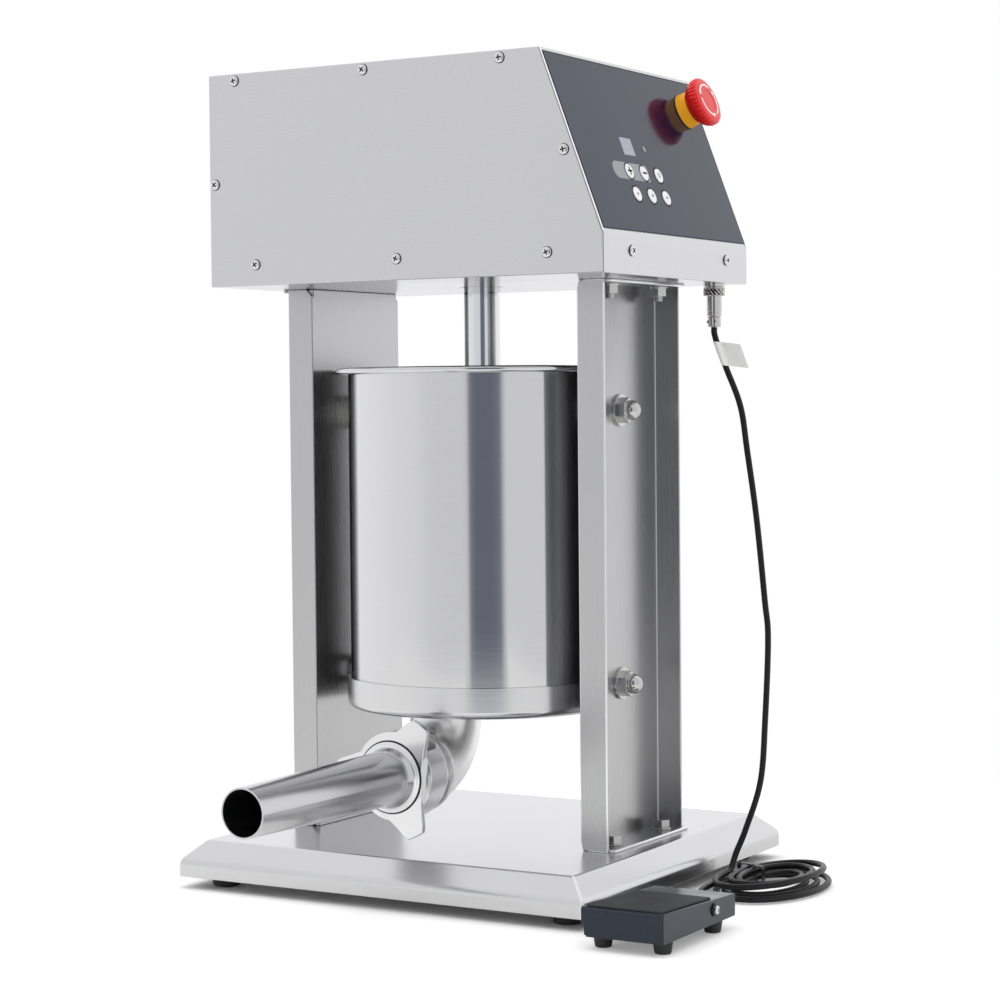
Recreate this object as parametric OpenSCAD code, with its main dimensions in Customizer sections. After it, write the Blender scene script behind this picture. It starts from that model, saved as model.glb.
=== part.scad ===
// Electric vertical sausage stuffer with a foot pedal.
// Z is up, +X is the control panel end, and the nozzle points along -Y.
// All sizes are in millimetres.

/* [Base] */
// Width of the base along X
base_w = 372; // [350:1:420]
// Depth of the base along Y
base_d = 353; // [320:1:400]
// Height of the upright skirt
skirt_h = 13; // [8:0.5:20]
// Rise of the bevel above the skirt
bevel_h = 15.5; // [12:0.5:22]
// Lean of the bevel
bevel_in = 16.5; // [8:0.5:22]
// Sheet thickness of the base
base_t = 2; // [1.5:0.1:3]
// Height of the feet under the skirt
foot_h = 9; // [6:0.5:16]
// Diameter of a foot
foot_d = 24; // [18:1:30]
// Distance of a foot from the edge of the base
foot_edge = 28; // [26:0.5:40]

/* [Columns] */
// Clear width between the webs
col_gap = 248.8; // [248.4:0.2:256]
// Width of a column along Y
col_w = 132; // [110:1:150]
// Depth of the flanges along X
col_flange = 23.8; // [22:0.2:30]
// Sheet thickness of a column
col_t = 2.5; // [2:0.1:4]
// Height of a column
col_h = 446.5; // [440:0.5:520]
// Corner cut at the ends of each fold
col_cut = 7; // [4:0.5:10]
// Reach of an end tab past the flanges
tab_reach = 6; // [4:0.5:10]
// Diameter of the tab bolts
bolt_d = 8; // [6:1:9]
// Distance between the two bolts of a tab
bolt_span = 84; // [60:1:96]

/* [Head] */
// Reach of the head to the left of the rod
head_left = 167; // [166:1:200]
// Reach of the head to the right of the rod
head_right = 191; // [186:1:210]
// Reach of the head in front of the rod
head_front = 147; // [130:1:170]
// Reach of the head behind the rod
head_back = 105; // [98:1:130]
// Height of the head
head_h = 169.5; // [160:0.5:200]
// Horizontal run of the slope
slope_in = 53; // [40:1:64]
// Height of the strip under the slope
strip_h = 30; // [29:0.5:36]
// Sheet thickness of the covers
head_t = 1.5; // [1:0.1:2]
// Thickness of the head floor
floor_t = 6; // [4:0.5:8]
// Height of the floor's upstands
upstand_h = 22; // [18:0.5:22.5]
// Thickness of the upstands
upstand_t = 3; // [2:0.1:4]
// Width of the cover's inner lips
lip_w = 14; // [12:0.5:18]
// Diameter of the cover screws
screw_d = 4; // [3:0.1:5]
// Diameter of a cover screw's head
screw_head_d = 8; // [6:0.1:9]

/* [Control panel] */
// Steel border left around the overlay
overlay_edge = 3; // [2:0.5:6]
// Thickness of the overlay
overlay_t = 0.5; // [0.3:0.1:1]
// Diameter of a key
key_d = 12; // [8:0.5:13]
// Distance between keys in a row
key_pitch = 24.8; // [20:0.1:27]
// Distance between the two rows
row_pitch = 19; // [17.2:0.1:21]
// Distance of the first row from the top of the slope
row_s = 95; // [92:0.5:96]
// Y of the middle key
key_y = -43; // [-60:0.5:-30]
// Key height above the overlay
key_rise = 0.9; // [0.8:0.1:1.6]
// Key travel
key_travel = 0.7; // [0.4:0.1:0.7]
// Window width along Y
window_w = 18.6; // [14:0.1:24]
// Window height along the slope
window_h = 14.7; // [10:0.1:16]
// Distance of the window's middle from the top of the slope
window_s = 73.5; // [70:0.5:75]

/* [Stop button] */
// Distance of the stop button from the top of the slope
stop_s = 31; // [28:0.5:34]
// Y of the stop button
stop_y = 74.6; // [60:0.2:78]
// Radius of the collar
stop_collar_r = 14.7; // [14.2:0.1:18]
// Height of the collar
stop_collar_h = 9.5; // [8:0.5:12]
// Radius of the cap
stop_cap_r = 20.3; // [18:0.1:24]
// Thickness of the cap's head
stop_cap_h = 8.5; // [7:0.5:12]
// Travel of the cap
stop_travel = 5; // [3:0.5:5]

/* [Drive] */
// Diameter of the push rod
rod_d = 30; // [29:0.5:32]
// Stroke of the push rod
stroke = 272; // [240:1:280]
// Module of the rack
rack_m = 2.5; // [2:0.1:2.6]
// Teeth of the rack pinion
pinion_n = 14; // [14:1:16]
// Width of the rack pinion
pinion_w = 24; // [16:1:40]
// Module of the drive gears
gear_m = 2; // [1.8:0.1:2.2]
// Teeth of the drive gear
gear_n = 60; // [54:1:62]
// Width of the drive gear
gear_w = 10; // [8:0.5:12]
// Teeth of the motor pinion
motor_n = 15; // [14:1:18]
// Radius of the gear reducer
reducer_r = 36; // [30:1:38]
// Length of the gear reducer
reducer_l = 40; // [30:1:44]
// Radius of the motor
motor_r = 32; // [26:1:36]
// Length of the motor
motor_l = 50; // [40:1:52]
// Radius of the pinion shaft
shaft_r = 8; // [7:0.5:9]

/* [Cylinder] */
// Outer radius of the barrel
cyl_r = 111; // [105:0.5:111]
// Wall of the barrel
cyl_t = 1.5; // [1:0.1:2]
// Height of the barrel
barrel_h = 276; // [260:1:290]
// Clear height under the cylinder
cyl_lift = 102.5; // [96:0.5:120]
// Reach of the rolled rim past the barrel
rim_out = 12.6; // [8:0.1:12.9]
// Radius of the rolled edge
bead_r = 2.6; // [1.8:0.1:3]
// Wall of the bottom pan
pan_wall = 3; // [2:0.1:3]
// Floor of the bottom pan
pan_t = 2; // [1.5:0.1:3]
// Height of the bottom pan
pan_h = 25; // [16:0.5:36]
// Radius of the pan's lower edge
pan_round = 6; // [3:0.5:10]
// Radius of a side stud
stud_r = 6; // [5:0.5:7]
// Height of the lower studs above the pan's bottom
stud_low = 23; // [18:0.5:40]
// Distance of the upper studs below the rim
stud_down = 36; // [24:1:60]

/* [Piston] */
// Thickness of the piston plate
piston_t = 14; // [12:0.5:20]
// Gap between the piston plate and the barrel
piston_gap = 1.5; // [1:0.1:3]
// Height of the piston above the pan's floor
piston_lift = 10; // [9:0.5:16]
// Radius of the rod's foot
foot_r = 26; // [22:0.5:34]

/* [Outlet] */
// Outer radius of the elbow
pipe_r = 28.5; // [26:0.1:30]
// Wall of the elbow
pipe_t = 1.5; // [1:0.1:2]
// Bend radius of the elbow
bend_r = 41; // [40:0.5:46]
// Distance of the outlet in front of the rod
outlet_y = 63; // [56:0.5:72]
// Length of the threaded ferrule
ferrule_l = 33.5; // [30:0.5:40]
// Outer radius of the ferrule's thread
ferrule_r = 30.9; // [30.5:0.1:32]

/* [Nozzle] */
// Length of the nozzle in front of its flange
nozzle_l = 199.4; // [120:0.2:240]
// Outer radius at the root of the taper
nozzle_root_r = 21.6; // [16:0.1:22.5]
// Outer radius at the tip
nozzle_tip_r = 18.6; // [8:0.1:19]
// Wall of the nozzle
nozzle_t = 1.3; // [1:0.1:1.8]
// Radius of the nozzle flange
nozzle_flange_r = 30; // [28:0.1:30.5]
// Thickness of the nozzle flange
nozzle_flange_t = 3; // [2:0.1:4]
// Thickness of the wing plate
wing_t = 5; // [4:0.5:7]
// Reach of the three wings
wing_r = 50; // [46:0.5:60]
// Half width of a wing's clipped end
wing_half = 7.4; // [6:0.1:12]
// Depth of the hollow between two wings
wing_hollow = 3; // [1:0.1:3.5]
// Turn of the nut at rest
wing_turn = 3.5; // [-10:0.5:10]
// Length of the nut's collar
nut_l = 24; // [18:0.5:26]
// Wall of the nut's collar
nut_wall = 4; // [3:0.1:5]

/* [Pedal] */
// X of the pedal's middle
pedal_x = 244.5; // [240:0.5:300]
// Y of the pedal's front edge
pedal_y = -227; // [-240:1:-215]
// Width of the pedal
pedal_w = 66; // [60:1:80]
// Depth of the pedal
pedal_d = 117; // [110:1:130]
// Height of the hood at the front
pedal_front_h = 31; // [30:0.5:38]
// Height of the hood at the back
pedal_back_h = 26; // [25:0.5:30]
// Height of the hood's lower edge
pedal_gap = 9.5; // [8:0.5:9.5]
// Sheet thickness of the hood
pedal_t = 1.5; // [1:0.1:2]
// Distance of the pivot from the back
pivot_back = 35; // [30:0.5:40]
// Height of the pivot
pivot_z = 20; // [18.5:0.1:20.5]
// Radius of the pivot pin
pivot_r = 3; // [2.5:0.1:4]
// Length of the ribbed pad
pad_l = 78; // [60:1:90]
// Distance between ribs
rib_pitch = 3.25; // [2.8:0.05:5]

/* [Cord] */
// Diameter of the cord
cord_d = 5; // [4:0.1:5]
// X of the coil's middle
coil_x = 241; // [238:0.5:246]
// Y of the coil's middle
coil_y = 36; // [30:0.5:40]
// Half width of the coil along X
coil_a = 44; // [42:0.5:46]
// Half length of the coil along Y
coil_b = 70; // [66:0.5:74]
// Distance between neighbouring loops beside the tie
loop_pitch = 6.2; // [6.1:0.1:6.4]
// Distance between neighbouring loops at the far side
loop_far = 8.6; // [7:0.1:9]
// Distance between neighbouring loops at the long ends
loop_end = 10; // [8:0.1:11]
// Turn of the upper loops over the lower ones
coil_sway = 7.5; // [0:0.5:8]
// Distance between the two layers
layer_h = 6; // [5.8:0.1:6.5]

/* [Hidden] */
$fn = 48;
fit = 0.05;
slip = 0.3;
seam = 0.3;

base_top = foot_h + skirt_h + bevel_h;
web_x = col_gap / 2;
col_x = web_x + col_flange;
tab_x = col_x + tab_reach;
bolt_x = (web_x + col_t + tab_x) / 2;
bolt_y = bolt_span / 2;
nut_h = 0.8 * bolt_d;
hex_af = 1.625 * bolt_d;
washer_t = 1.6;
post_r = foot_d / 3;
post_x = base_w / 2 - foot_edge;
post_y = base_d / 2 - foot_edge;
foot_rise = 3;

head_z = base_top + col_h;
head_top = head_z + head_h;
floor_top = head_z + floor_t;
slope_x = head_right - slope_in;
slope_rise = head_h - strip_h;
slope_len = norm([slope_in, slope_rise]);
slope_tilt = atan2(slope_rise, slope_in);
wall_y0 = head_t - head_front;
wall_y1 = head_back - head_t;
screw_edge = 6;
low_screw_z = 16.5;
slope_screw_s = 80;
slope_screw_in = 8;
strip_screw_y = [-101, 64];
screw_l = 8;
screw_head_h = 2.4;

rod_r = rod_d / 2;
guide_r = rod_r + 3;
guide_flange = 6;
guide_top_l = 14;
rack_p = PI * rack_m;
rack_y = rod_r - 4;
addendum = 0.8;
dedendum = 1.05;
backlash = 0.25;
pressure = 20;
pinion_r = rack_m * pinion_n / 2;
shaft_y = rack_y + pinion_r;
shaft_z = head_z + 76;
plate_x = 30;
plate_t = 8;
bearing_r = 2 * shaft_r;
gear_x = -54;
gear_dir = 201.1;
gear_gap = gear_m * (gear_n + motor_n) / 2;
drive_y = shaft_y + gear_gap * cos(gear_dir);
drive_z = shaft_z + gear_gap * sin(gear_dir);
bracket_x = -62;
plate_foot = 42;
plate_wall = 8;
bracket_edge = 3;
bracket_t = 6;
boss_r = 20;
out_r = 6;

pan_z = base_top + cyl_lift;
pan_r = cyl_r + pan_wall;
pan_floor = pan_z + pan_t;
bore_r = cyl_r - cyl_t;
rim_z = pan_floor + barrel_h;
stud_z0 = pan_z + stud_low;
stud_z1 = rim_z - stud_down;
stud_out = web_x + col_t + 12;
guide_pad_r = 14;
guide_pad_t = 3;
boss_end = web_x - 5.2;
piston_z = pan_floor + piston_lift;
piston_top = piston_z + piston_t;
piston_r = bore_r - piston_gap;
rod_top = head_top - 2.5;
valve_y = 62;
valve_r = 4;
valve_lift = 4;

axis_z = pan_z - 1 - bend_r;
elbow_y = -outlet_y - bend_r;
ferrule_y = elbow_y - ferrule_l;
gasket_t = 1;
flange_y = ferrule_y - gasket_t - 0.2;
wing_y = flange_y - nozzle_flange_t - slip;
neck_r = nozzle_root_r + 2;
nut_bore = ferrule_r + 0.1;
tip_y = flange_y - nozzle_flange_t - nozzle_l;

pedal_x0 = pedal_x - pedal_w / 2;
pedal_x1 = pedal_x + pedal_w / 2;
pedal_back = pedal_y + pedal_d;
pedal_tilt = atan2(pedal_front_h - pedal_back_h, pedal_d);
pivot_y = pedal_back - pivot_back;
tray_x = pedal_w / 2 - 3;
tray_z = 10;
tray_t = 1.5;
tray_y0 = pedal_y + 6;
tray_y1 = pedal_back - 2;
pin_end = pedal_w / 2 + slip;
pin_head = 3.5;
switch_y = pivot_y - 45;
plunger_r = 3;
gland_r = 5;
gland_z = 15.5;
gland_l = 8;

socket_x = head_right - 15;
socket_y = head_back - 31.5;
plug_z = head_z - 35.5;
cord_r = cord_d / 2;
tie_t = 0.7;
coil_z = tie_t + slip + cord_r;
turns_in = 3;
turns_climb = 0.5;
turns_out = 2.5;
coil_turns = turns_in + turns_climb + turns_out;
coil_rings = 24;
coil_sides = 6;
cord_sides = 10;
tie_turn = 1 / 12;
tie_w = 4;
tie_room = 1.2;
sway_y = 20;

// The frame's zero is under the middle of the object without its cord
frame_x = (pedal_x + pin_end + pin_head - base_w / 2) / 2;
frame_y = (base_d / 2 + tip_y) / 2;

// Placing
module in_frame() translate([-frame_x, -frame_y, 0]) children();
module both_x() { children(); mirror([1, 0, 0]) children(); }
module both_y() { children(); mirror([0, 1, 0]) children(); }
module four() both_x() both_y() children();
module along_x(x0, x1) translate([x0, 0, 0]) rotate([90, 0, 90]) linear_extrude(x1 - x0) children();
module along_y(y0, y1) translate([0, y1, 0]) rotate([90, 0, 0]) linear_extrude(y1 - y0) children();
module bar_x(x0, x1, y, z, r) translate([x0, y, z]) rotate([0, 90, 0]) cylinder(r = r, h = x1 - x0);
module bar_y(y0, y1, x, z, r) translate([x, y1, z]) rotate([90, 0, 0]) cylinder(r = r, h = y1 - y0);
module bar_z(z0, z1, x, y, r) translate([x, y, z0]) cylinder(r = r, h = z1 - z0);
module hex_z(z0, z1, x, y, af) translate([x, y, z0]) cylinder(d = af / cos(30), h = z1 - z0, $fn = 6);
module block(p, q) translate(p) cube(q - p);
module on_slope(s, y) translate([slope_x, 0, head_top]) rotate([0, slope_tilt, 0]) translate([s, y, 0]) children();
module slope_bar(s, y, h0, h1, r) on_slope(s, y) translate([0, 0, h0]) cylinder(r = r, h = h1 - h0);
module turned_y(y) translate([0, y, axis_z]) rotate([90, 0, 0]) rotate_extrude() children();

// Shapes
function unit(v) = v / norm(v);
function inset(p, d) = [for (i = [0:len(p) - 1])
  let (a = p[(i + len(p) - 1) % len(p)], b = p[i], c = p[(i + 1) % len(p)],
    u = unit(b - a), v = unit(c - b), m = [-u[1], u[0]], n = [-v[1], v[0]])
  b + d * (m + n) / (1 + m * n)];
function polar(r, a) = r * [cos(a), sin(a)];
function slope_point(s, h) = [slope_x, head_top] + s * [cos(slope_tilt), -sin(slope_tilt)]
  + h * [sin(slope_tilt), cos(slope_tilt)];
outline = [[-head_left, head_z], [head_right, head_z], [head_right, head_z + strip_h],
  [slope_x, head_top], [-head_left, head_top]];
inner = inset(outline, head_t);
top_x0 = 26 - head_left;
top_x1 = slope_x - 33.5;
low_x0 = 45 - head_left;
low_x1 = head_right - 47;
panel_screws = concat(
  [for (i = [0:2]) [top_x0 + i * (top_x1 - top_x0) / 2, head_top - screw_edge]],
  [for (i = [0:2]) [low_x0 + i * (low_x1 - low_x0) / 2, head_z + low_screw_z]],
  [[screw_edge - head_left, head_z + head_h / 2 - 3], slope_point(slope_screw_s, -slope_screw_in)]);

// Gear teeth
function inv(a) = tan(a) * 180 / PI - a;
function flank(m, n, r) = (PI * m / 2 - backlash) * 90 / (PI * m * n / 2) + inv(pressure)
  - inv(acos(min(1, m * n / 2 * cos(pressure) / r)));
function gear_shape(m, n, turn) = let (r0 = m * (n / 2 - dedendum), r1 = m * (n / 2 + addendum),
  rr = [for (k = [0:4]) r0 + (r1 - r0) * k / 4])
  [for (i = [0:n - 1]) let (a = turn + i * 360 / n)
    each concat([for (k = [0:4]) polar(rr[k], a - flank(m, n, rr[k]))],
      [for (k = [4:-1:0]) polar(rr[k], a + flank(m, n, rr[k]))])];
rack_low = -ceil(stroke / rack_p) - 2;
rack_half = rack_p / 4 - backlash / 2;
rack_tip = rack_half - addendum * rack_m * tan(pressure);
rack_root = rack_half + dedendum * rack_m * tan(pressure);
function rack_z(k) = shaft_z + (k + 0.5) * rack_p;
rack_cut = let (y0 = rack_y - dedendum * rack_m, y1 = rack_y + addendum * rack_m,
  z0 = rack_z(rack_low - 0.5), z1 = rack_z(1.5))
  concat([[rod_r + 1, z0], [y0, z0]],
    [for (k = [rack_low:1]) each [[y0, rack_z(k) - rack_root], [y1, rack_z(k) - rack_tip],
      [y1, rack_z(k) + rack_tip], [y0, rack_z(k) + rack_root]]],
    [[y0, z1], [rod_r + 1, z1]]);

// Swept tubes
function tangent(p, i) = unit(p[min(i + 1, len(p) - 1)] - p[max(i - 1, 0)]);
function ring(c, t, ref, r, n) = let (u = unit(cross(t, ref)), v = cross(u, t))
  [for (k = [0:n - 1]) c + r * (cos(360 * k / n) * u + sin(360 * k / n) * v)];
module tube(p, ref, r, n) {
  last = len(p) - 1;
  pts = [for (i = [0:last]) each ring(p[i], tangent(p, i), ref, r, n)];
  sides = [for (i = [0:last - 1], k = [0:n - 1]) let (a = i * n + k, b = i * n + (k + 1) % n)
    each [[a, b, b + n], [a, b + n, a + n]]];
  caps = [[for (k = [n - 1:-1:0]) k], [for (k = [0:n - 1]) last * n + k]];
  polyhedron(points = pts, faces = concat(sides, caps));
}
function spline(a, b, c, d, t) = 0.5 * (2 * b + (c - a) * t + (2 * a - 5 * b + 4 * c - d) * t * t
  + (3 * b - a - 3 * c + d) * t * t * t);
function smooth_path(p, n) = let (m = len(p) - 1)
  concat([for (i = [0:m - 1], k = [0:n - 1])
    spline(p[max(i - 1, 0)], p[i], p[i + 1], p[min(i + 2, m)], k / n)], [p[m]]);

// Cord routes, drawn by hand
drop_end = [coil_x - coil_a + loop_pitch / 2, coil_y + cord_d, coil_z + layer_h];
drop_path = [[socket_x, socket_y, plug_z], [socket_x, socket_y, plug_z - cord_d], [180, 73.5, 431],
  [187, 73.5, 414], [199, 73.5, 384], [205, 73, 348], [213, 73, 293], [220, 72.5, 228], [223, 72, 196],
  [221, 70, 131], [218, 67, 81], [207, 62, 42], [201.5, 56, 24], drop_end + [0.3, 9, 4.5],
  drop_end + [0, cord_d, 0.9], drop_end];
lead_start = [pedal_x, tray_y1 + gland_l, gland_z];
lead_end = [coil_x - coil_a, coil_y - cord_d, coil_z];
lead_path = [lead_start, lead_start + [0, cord_d, 0], [243, -88, 11], [236, -72, coil_z + 1],
  [224, -54, coil_z], [211, -33, coil_z], [201, -9, coil_z], lead_end - [0, 2 * cord_d, 0],
  lead_end - [0, cord_d, 0], lead_end];

// Coil of loops that spiral in, climb and spiral out again
function coil_step(t) = t <= turns_in ? t : t <= turns_in + turns_climb ? turns_in
  : turns_in - (t - turns_in - turns_climb);
function coil_rise(t) = t <= turns_in ? 0 : t >= turns_in + turns_climb ? 1 : (t - turns_in) / turns_climb;
function coil_turned(t) = coil_sway * max(0, min(1, (t - turns_in) / turns_climb, (coil_turns - t) / turns_climb));
function coil_point(t) = let (s = coil_step(t), a = coil_turned(t),
  x = loop_pitch * s + (2 * coil_a - (loop_pitch + loop_far) * s) * (1 - cos(360 * t)) / 2,
  y = (coil_b - loop_end * s) * sin(360 * t) - sway_y)
  [coil_x - coil_a + x * cos(a) - y * sin(a), coil_y + sway_y + x * sin(a) + y * cos(a), coil_z + layer_h * coil_rise(t)];
coil_loops = [for (i = [0:coil_rings * coil_turns]) coil_point(i / coil_rings)];
coil_path = concat([coil_loops[0] - [0, cord_d, 0]], coil_loops,
  [coil_loops[len(coil_loops) - 1] + [0, cord_d, 0]]);
coil_gap = min([for (i = [0:len(coil_path) - 1], j = [0:len(coil_path) - 1])
  if (j > i + coil_rings / 3) norm(coil_path[i] - coil_path[j])]) - cord_d;
echo(coil_gap = coil_gap);

// Base
function pan_side(w, z0, z1, z2, x0, x1) = [[x0 - w / 2, z0], [w / 2 - x0, z0], [w / 2 - x0, z1],
  [w / 2 - x1, z2], [x1 - w / 2, z2], [x0 - w / 2, z1]];
module pan_solid(z0, z1, z2, x0, x1) intersection() {
  along_y(-base_d, base_d) polygon(pan_side(base_w, z0, z1, z2, x0, x1));
  along_x(-base_w, base_w) polygon(pan_side(base_d, z0, z1, z2, x0, x1));
}
module base_pan() color("silver") in_frame() {
  lean = atan2(bevel_in, bevel_h);
  drop = base_t * tan(lean / 2);
  run = base_t * tan((90 - lean) / 2);
  difference() {
    pan_solid(foot_h, foot_h + skirt_h, base_top, 0, bevel_in);
    pan_solid(foot_h - 1, foot_h + skirt_h - drop, base_top - base_t, base_t, bevel_in + run);
    four() bar_z(foot_h, base_top + 1, bolt_x, bolt_y, bolt_d / 2 + slip);
  }
  four() bar_z(foot_h + foot_rise, base_top - base_t, post_x, post_y, post_r);
}
module base_feet() color("black") in_frame() four() translate([post_x, post_y, 0])
  cylinder(r1 = foot_d / 2 - 1, r2 = foot_d / 2, h = foot_h + foot_rise);

// Columns
module channel() {
  difference() {
    union() {
      block([web_x, -col_w / 2, base_top], [web_x + col_t, col_w / 2, head_z]);
      both_y() block([web_x, col_w / 2 - col_t, base_top], [col_x, col_w / 2, head_z]);
      block([web_x, col_t - col_w / 2, base_top], [tab_x, col_w / 2 - col_t, base_top + col_t]);
      block([web_x, col_t - col_w / 2, head_z - col_t], [tab_x, col_w / 2 - col_t, head_z]);
    }
    both_y() along_y(col_w / 2 - col_t, col_w / 2 + 1) {
      polygon([[web_x - 1, base_top - 1], [web_x + col_cut, base_top - 1], [web_x - 1, base_top + col_cut]]);
      polygon([[web_x - 1, head_z + 1], [web_x + col_cut, head_z + 1], [web_x - 1, head_z - col_cut]]);
    }
    both_y() bar_z(base_top - 1, base_top + col_t + 1, bolt_x, bolt_y, bolt_d / 2 + slip);
    both_y() bar_z(head_z - col_t - 1, head_z + 1, bolt_x, bolt_y, bolt_d / 2 + slip);
    for (z = [stud_z0, stud_z1]) bar_x(web_x - 1, web_x + col_t + 1, 0, z, stud_r + slip);
  }
}
module right_column() color("silver") in_frame() channel();
module left_column() color("silver") in_frame() mirror([1, 0, 0]) channel();
module column_bolts() color("gainsboro") in_frame() four() {
  bar_z(base_top - base_t - 10, base_top + col_t + 1, bolt_x, bolt_y, bolt_d / 2);
  bar_z(base_top + col_t, base_top + col_t + washer_t, bolt_x, bolt_y, bolt_d);
  hex_z(base_top + col_t + washer_t, base_top + col_t + washer_t + nut_h, bolt_x, bolt_y, hex_af);
  bar_z(head_z - col_t - 12, floor_top + 1, bolt_x, bolt_y, bolt_d / 2);
  bar_z(floor_top, floor_top + washer_t, bolt_x, bolt_y, bolt_d);
  hex_z(floor_top + washer_t, floor_top + washer_t + nut_h, bolt_x, bolt_y, hex_af);
}
module plain_nut(z) difference() {
  union() {
    bar_z(z - washer_t, z, bolt_x, bolt_y, bolt_d);
    hex_z(z - washer_t - nut_h, z - washer_t, bolt_x, bolt_y, hex_af);
  }
  bar_z(z - 20, z + 1, bolt_x, bolt_y, bolt_d / 2 + fit);
}

// Cylinder and its side studs
module cylinder_studs() color("gainsboro") in_frame() both_x() {
  bar_x(pan_r + 1, stud_out, 0, stud_z0, stud_r);
  bar_x(boss_end + slip, web_x, 0, stud_z0, stud_r + 4);
  bar_x(cyl_r + guide_pad_t + slip, stud_out, 0, stud_z1, stud_r);
}
module dome_nut(z) {
  x0 = web_x + col_t;
  difference() {
    union() {
      bar_x(x0, x0 + 2.5, 0, z, 2 * stud_r + 1);
      translate([x0 + 2.5, 0, z]) rotate([0, 90, 0]) cylinder(d = 3 * stud_r / cos(30), h = 6.5, $fn = 6);
      bar_x(x0 + 2.5, x0 + 10.5, 0, z, 1.37 * stud_r);
      translate([x0 + 10.5, 0, z]) sphere(r = 1.33 * stud_r);
    }
    bar_x(x0 - 1, stud_out + 0.2, 0, z, stud_r + fit);
  }
}
module frame_nuts() color("gainsboro") in_frame() {
  four() plain_nut(base_top - base_t);
  four() plain_nut(head_z - col_t);
  both_x() dome_nut(stud_z0);
  both_x() dome_nut(stud_z1);
}
module guide_pads() color("white") in_frame() both_x() difference() {
  bar_x(cyl_r + slip, web_x, 0, stud_z1, guide_pad_r);
  bar_x(cyl_r + guide_pad_t, web_x + 1, 0, stud_z1, stud_r + fit);
}
module cylinder_barrel() color("silver") in_frame() rotate_extrude() {
  translate([bore_r, pan_floor]) square([cyl_t, barrel_h - bead_r]);
  translate([bore_r, rim_z - bead_r - cyl_t / 2]) square([cyl_t + rim_out - bead_r, cyl_t]);
  translate([cyl_r + rim_out - bead_r, rim_z - bead_r]) circle(bead_r);
}
module cylinder_pan() color("silver") in_frame() {
  difference() {
    rotate_extrude() difference() {
      union() {
        translate([0, pan_z]) square([pan_r - pan_round, pan_h]);
        translate([0, pan_z + pan_round]) square([pan_r, pan_h - pan_round]);
        translate([pan_r - pan_round, pan_z + pan_round]) circle(pan_round);
      }
      translate([0, pan_floor]) square([cyl_r + fit, pan_h]);
      translate([-pan_r, 0]) square([pan_r, 2 * pan_z]);
    }
    bar_z(pan_z - 1, pan_floor + 1, 0, -outlet_y, pipe_r - pipe_t);
  }
  both_x() difference() {
    bar_x(cyl_r + pan_wall / 2, boss_end, 0, stud_z0, 2 * stud_r + 1);
    bar_z(stud_z0 - 30, stud_z0 + 30, 0, 0, pan_r);
    bar_x(cyl_r, boss_end + 1, 0, stud_z0, stud_r + fit);
  }
}

// Outlet and nozzle
module outlet_elbow() color("silver") in_frame() {
  translate([0, elbow_y, axis_z + bend_r]) rotate([90, 0, 90]) rotate([0, 0, -90])
    rotate_extrude(angle = 90) translate([bend_r, 0]) difference() {
      circle(pipe_r);
      circle(pipe_r - pipe_t);
    }
  difference() {
    bar_z(axis_z + bend_r, pan_z, 0, -outlet_y, pipe_r);
    bar_z(axis_z + bend_r - 1, pan_z + 1, 0, -outlet_y, pipe_r - pipe_t);
  }
}
module outlet_ferrule() color("silver") in_frame() turned_y(elbow_y) {
  translate([pipe_r - pipe_t, 0]) square([ferrule_r - pipe_r + pipe_t, ferrule_l]);
  translate([pipe_r - pipe_t, 0]) square([ferrule_r - pipe_r + pipe_t + 2, 5]);
}
module nozzle_gasket() color("white") in_frame() turned_y(ferrule_y)
  translate([pipe_r - pipe_t, 0]) square([nozzle_flange_r - pipe_r + pipe_t, gasket_t]);
module nozzle() color("gray") in_frame() turned_y(flange_y) {
  f = nozzle_flange_t;
  e = f + nozzle_l;
  polygon([[neck_r - nozzle_t, 0], [nozzle_flange_r, 0], [nozzle_flange_r, f], [neck_r, f], [neck_r, f + 8],
    [nozzle_root_r, f + 12], [nozzle_tip_r, e], [nozzle_tip_r - nozzle_t, e],
    [nozzle_root_r - nozzle_t, f + 12], [neck_r - nozzle_t, f + 8]]);
}
wing_side = wing_r * cos(60) + wing_half * cos(30);
wing_cut_r = 4 * wing_r;
module wing_shape() difference() {
  intersection() {
    circle(norm([wing_r, wing_half]), $fn = 96);
    polygon([for (a = [60, 180, 300]) polar(2 * wing_side, a)]);
  }
  circle(neck_r + 0.4);
  for (a = [0, 120, 240]) rotate(a) translate([wing_side - wing_hollow + wing_cut_r, 0]) circle(wing_cut_r, $fn = 96);
}
module nozzle_nut() color("silver") in_frame() {
  translate([0, 0, axis_z]) along_y(wing_y - wing_t, wing_y) rotate(-wing_turn) wing_shape();
  difference() {
    bar_y(wing_y, wing_y + nut_l, 0, axis_z, nut_bore + nut_wall);
    bar_y(wing_y - 1, wing_y + nut_l + 1, 0, axis_z, nut_bore);
  }
}

// Rod and piston
module piston_rod() color("gainsboro") in_frame() difference() {
  union() {
    bar_z(piston_top, rod_top, 0, 0, rod_r);
    bar_z(piston_top, piston_top + 6, 0, 0, foot_r);
    bar_z(piston_top, piston_top + 20, 0, 0, rod_r + 5);
  }
  along_x(-rod_r - 1, rod_r + 1) polygon(rack_cut);
}
module piston_plate() color("silver") in_frame() difference() {
  bar_z(piston_z, piston_top, 0, 0, piston_r);
  difference() {
    bar_z(piston_z + 4, piston_top - 4, 0, 0, piston_r + 1);
    bar_z(piston_z, piston_top, 0, 0, piston_r - 4);
  }
  bar_z(piston_z - 1, piston_top + 1, 0, valve_y, valve_r + slip);
  bar_z(piston_z - 1, piston_z + 3.5, 0, valve_y, 2.5 * valve_r + slip);
}
module piston_seal() color("white") in_frame() difference() {
  bar_z(piston_z + 4 + fit, piston_top - 4 - fit, 0, 0, bore_r - 2 * fit);
  bar_z(piston_z, piston_top, 0, 0, piston_r - 4 + fit);
}
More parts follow.
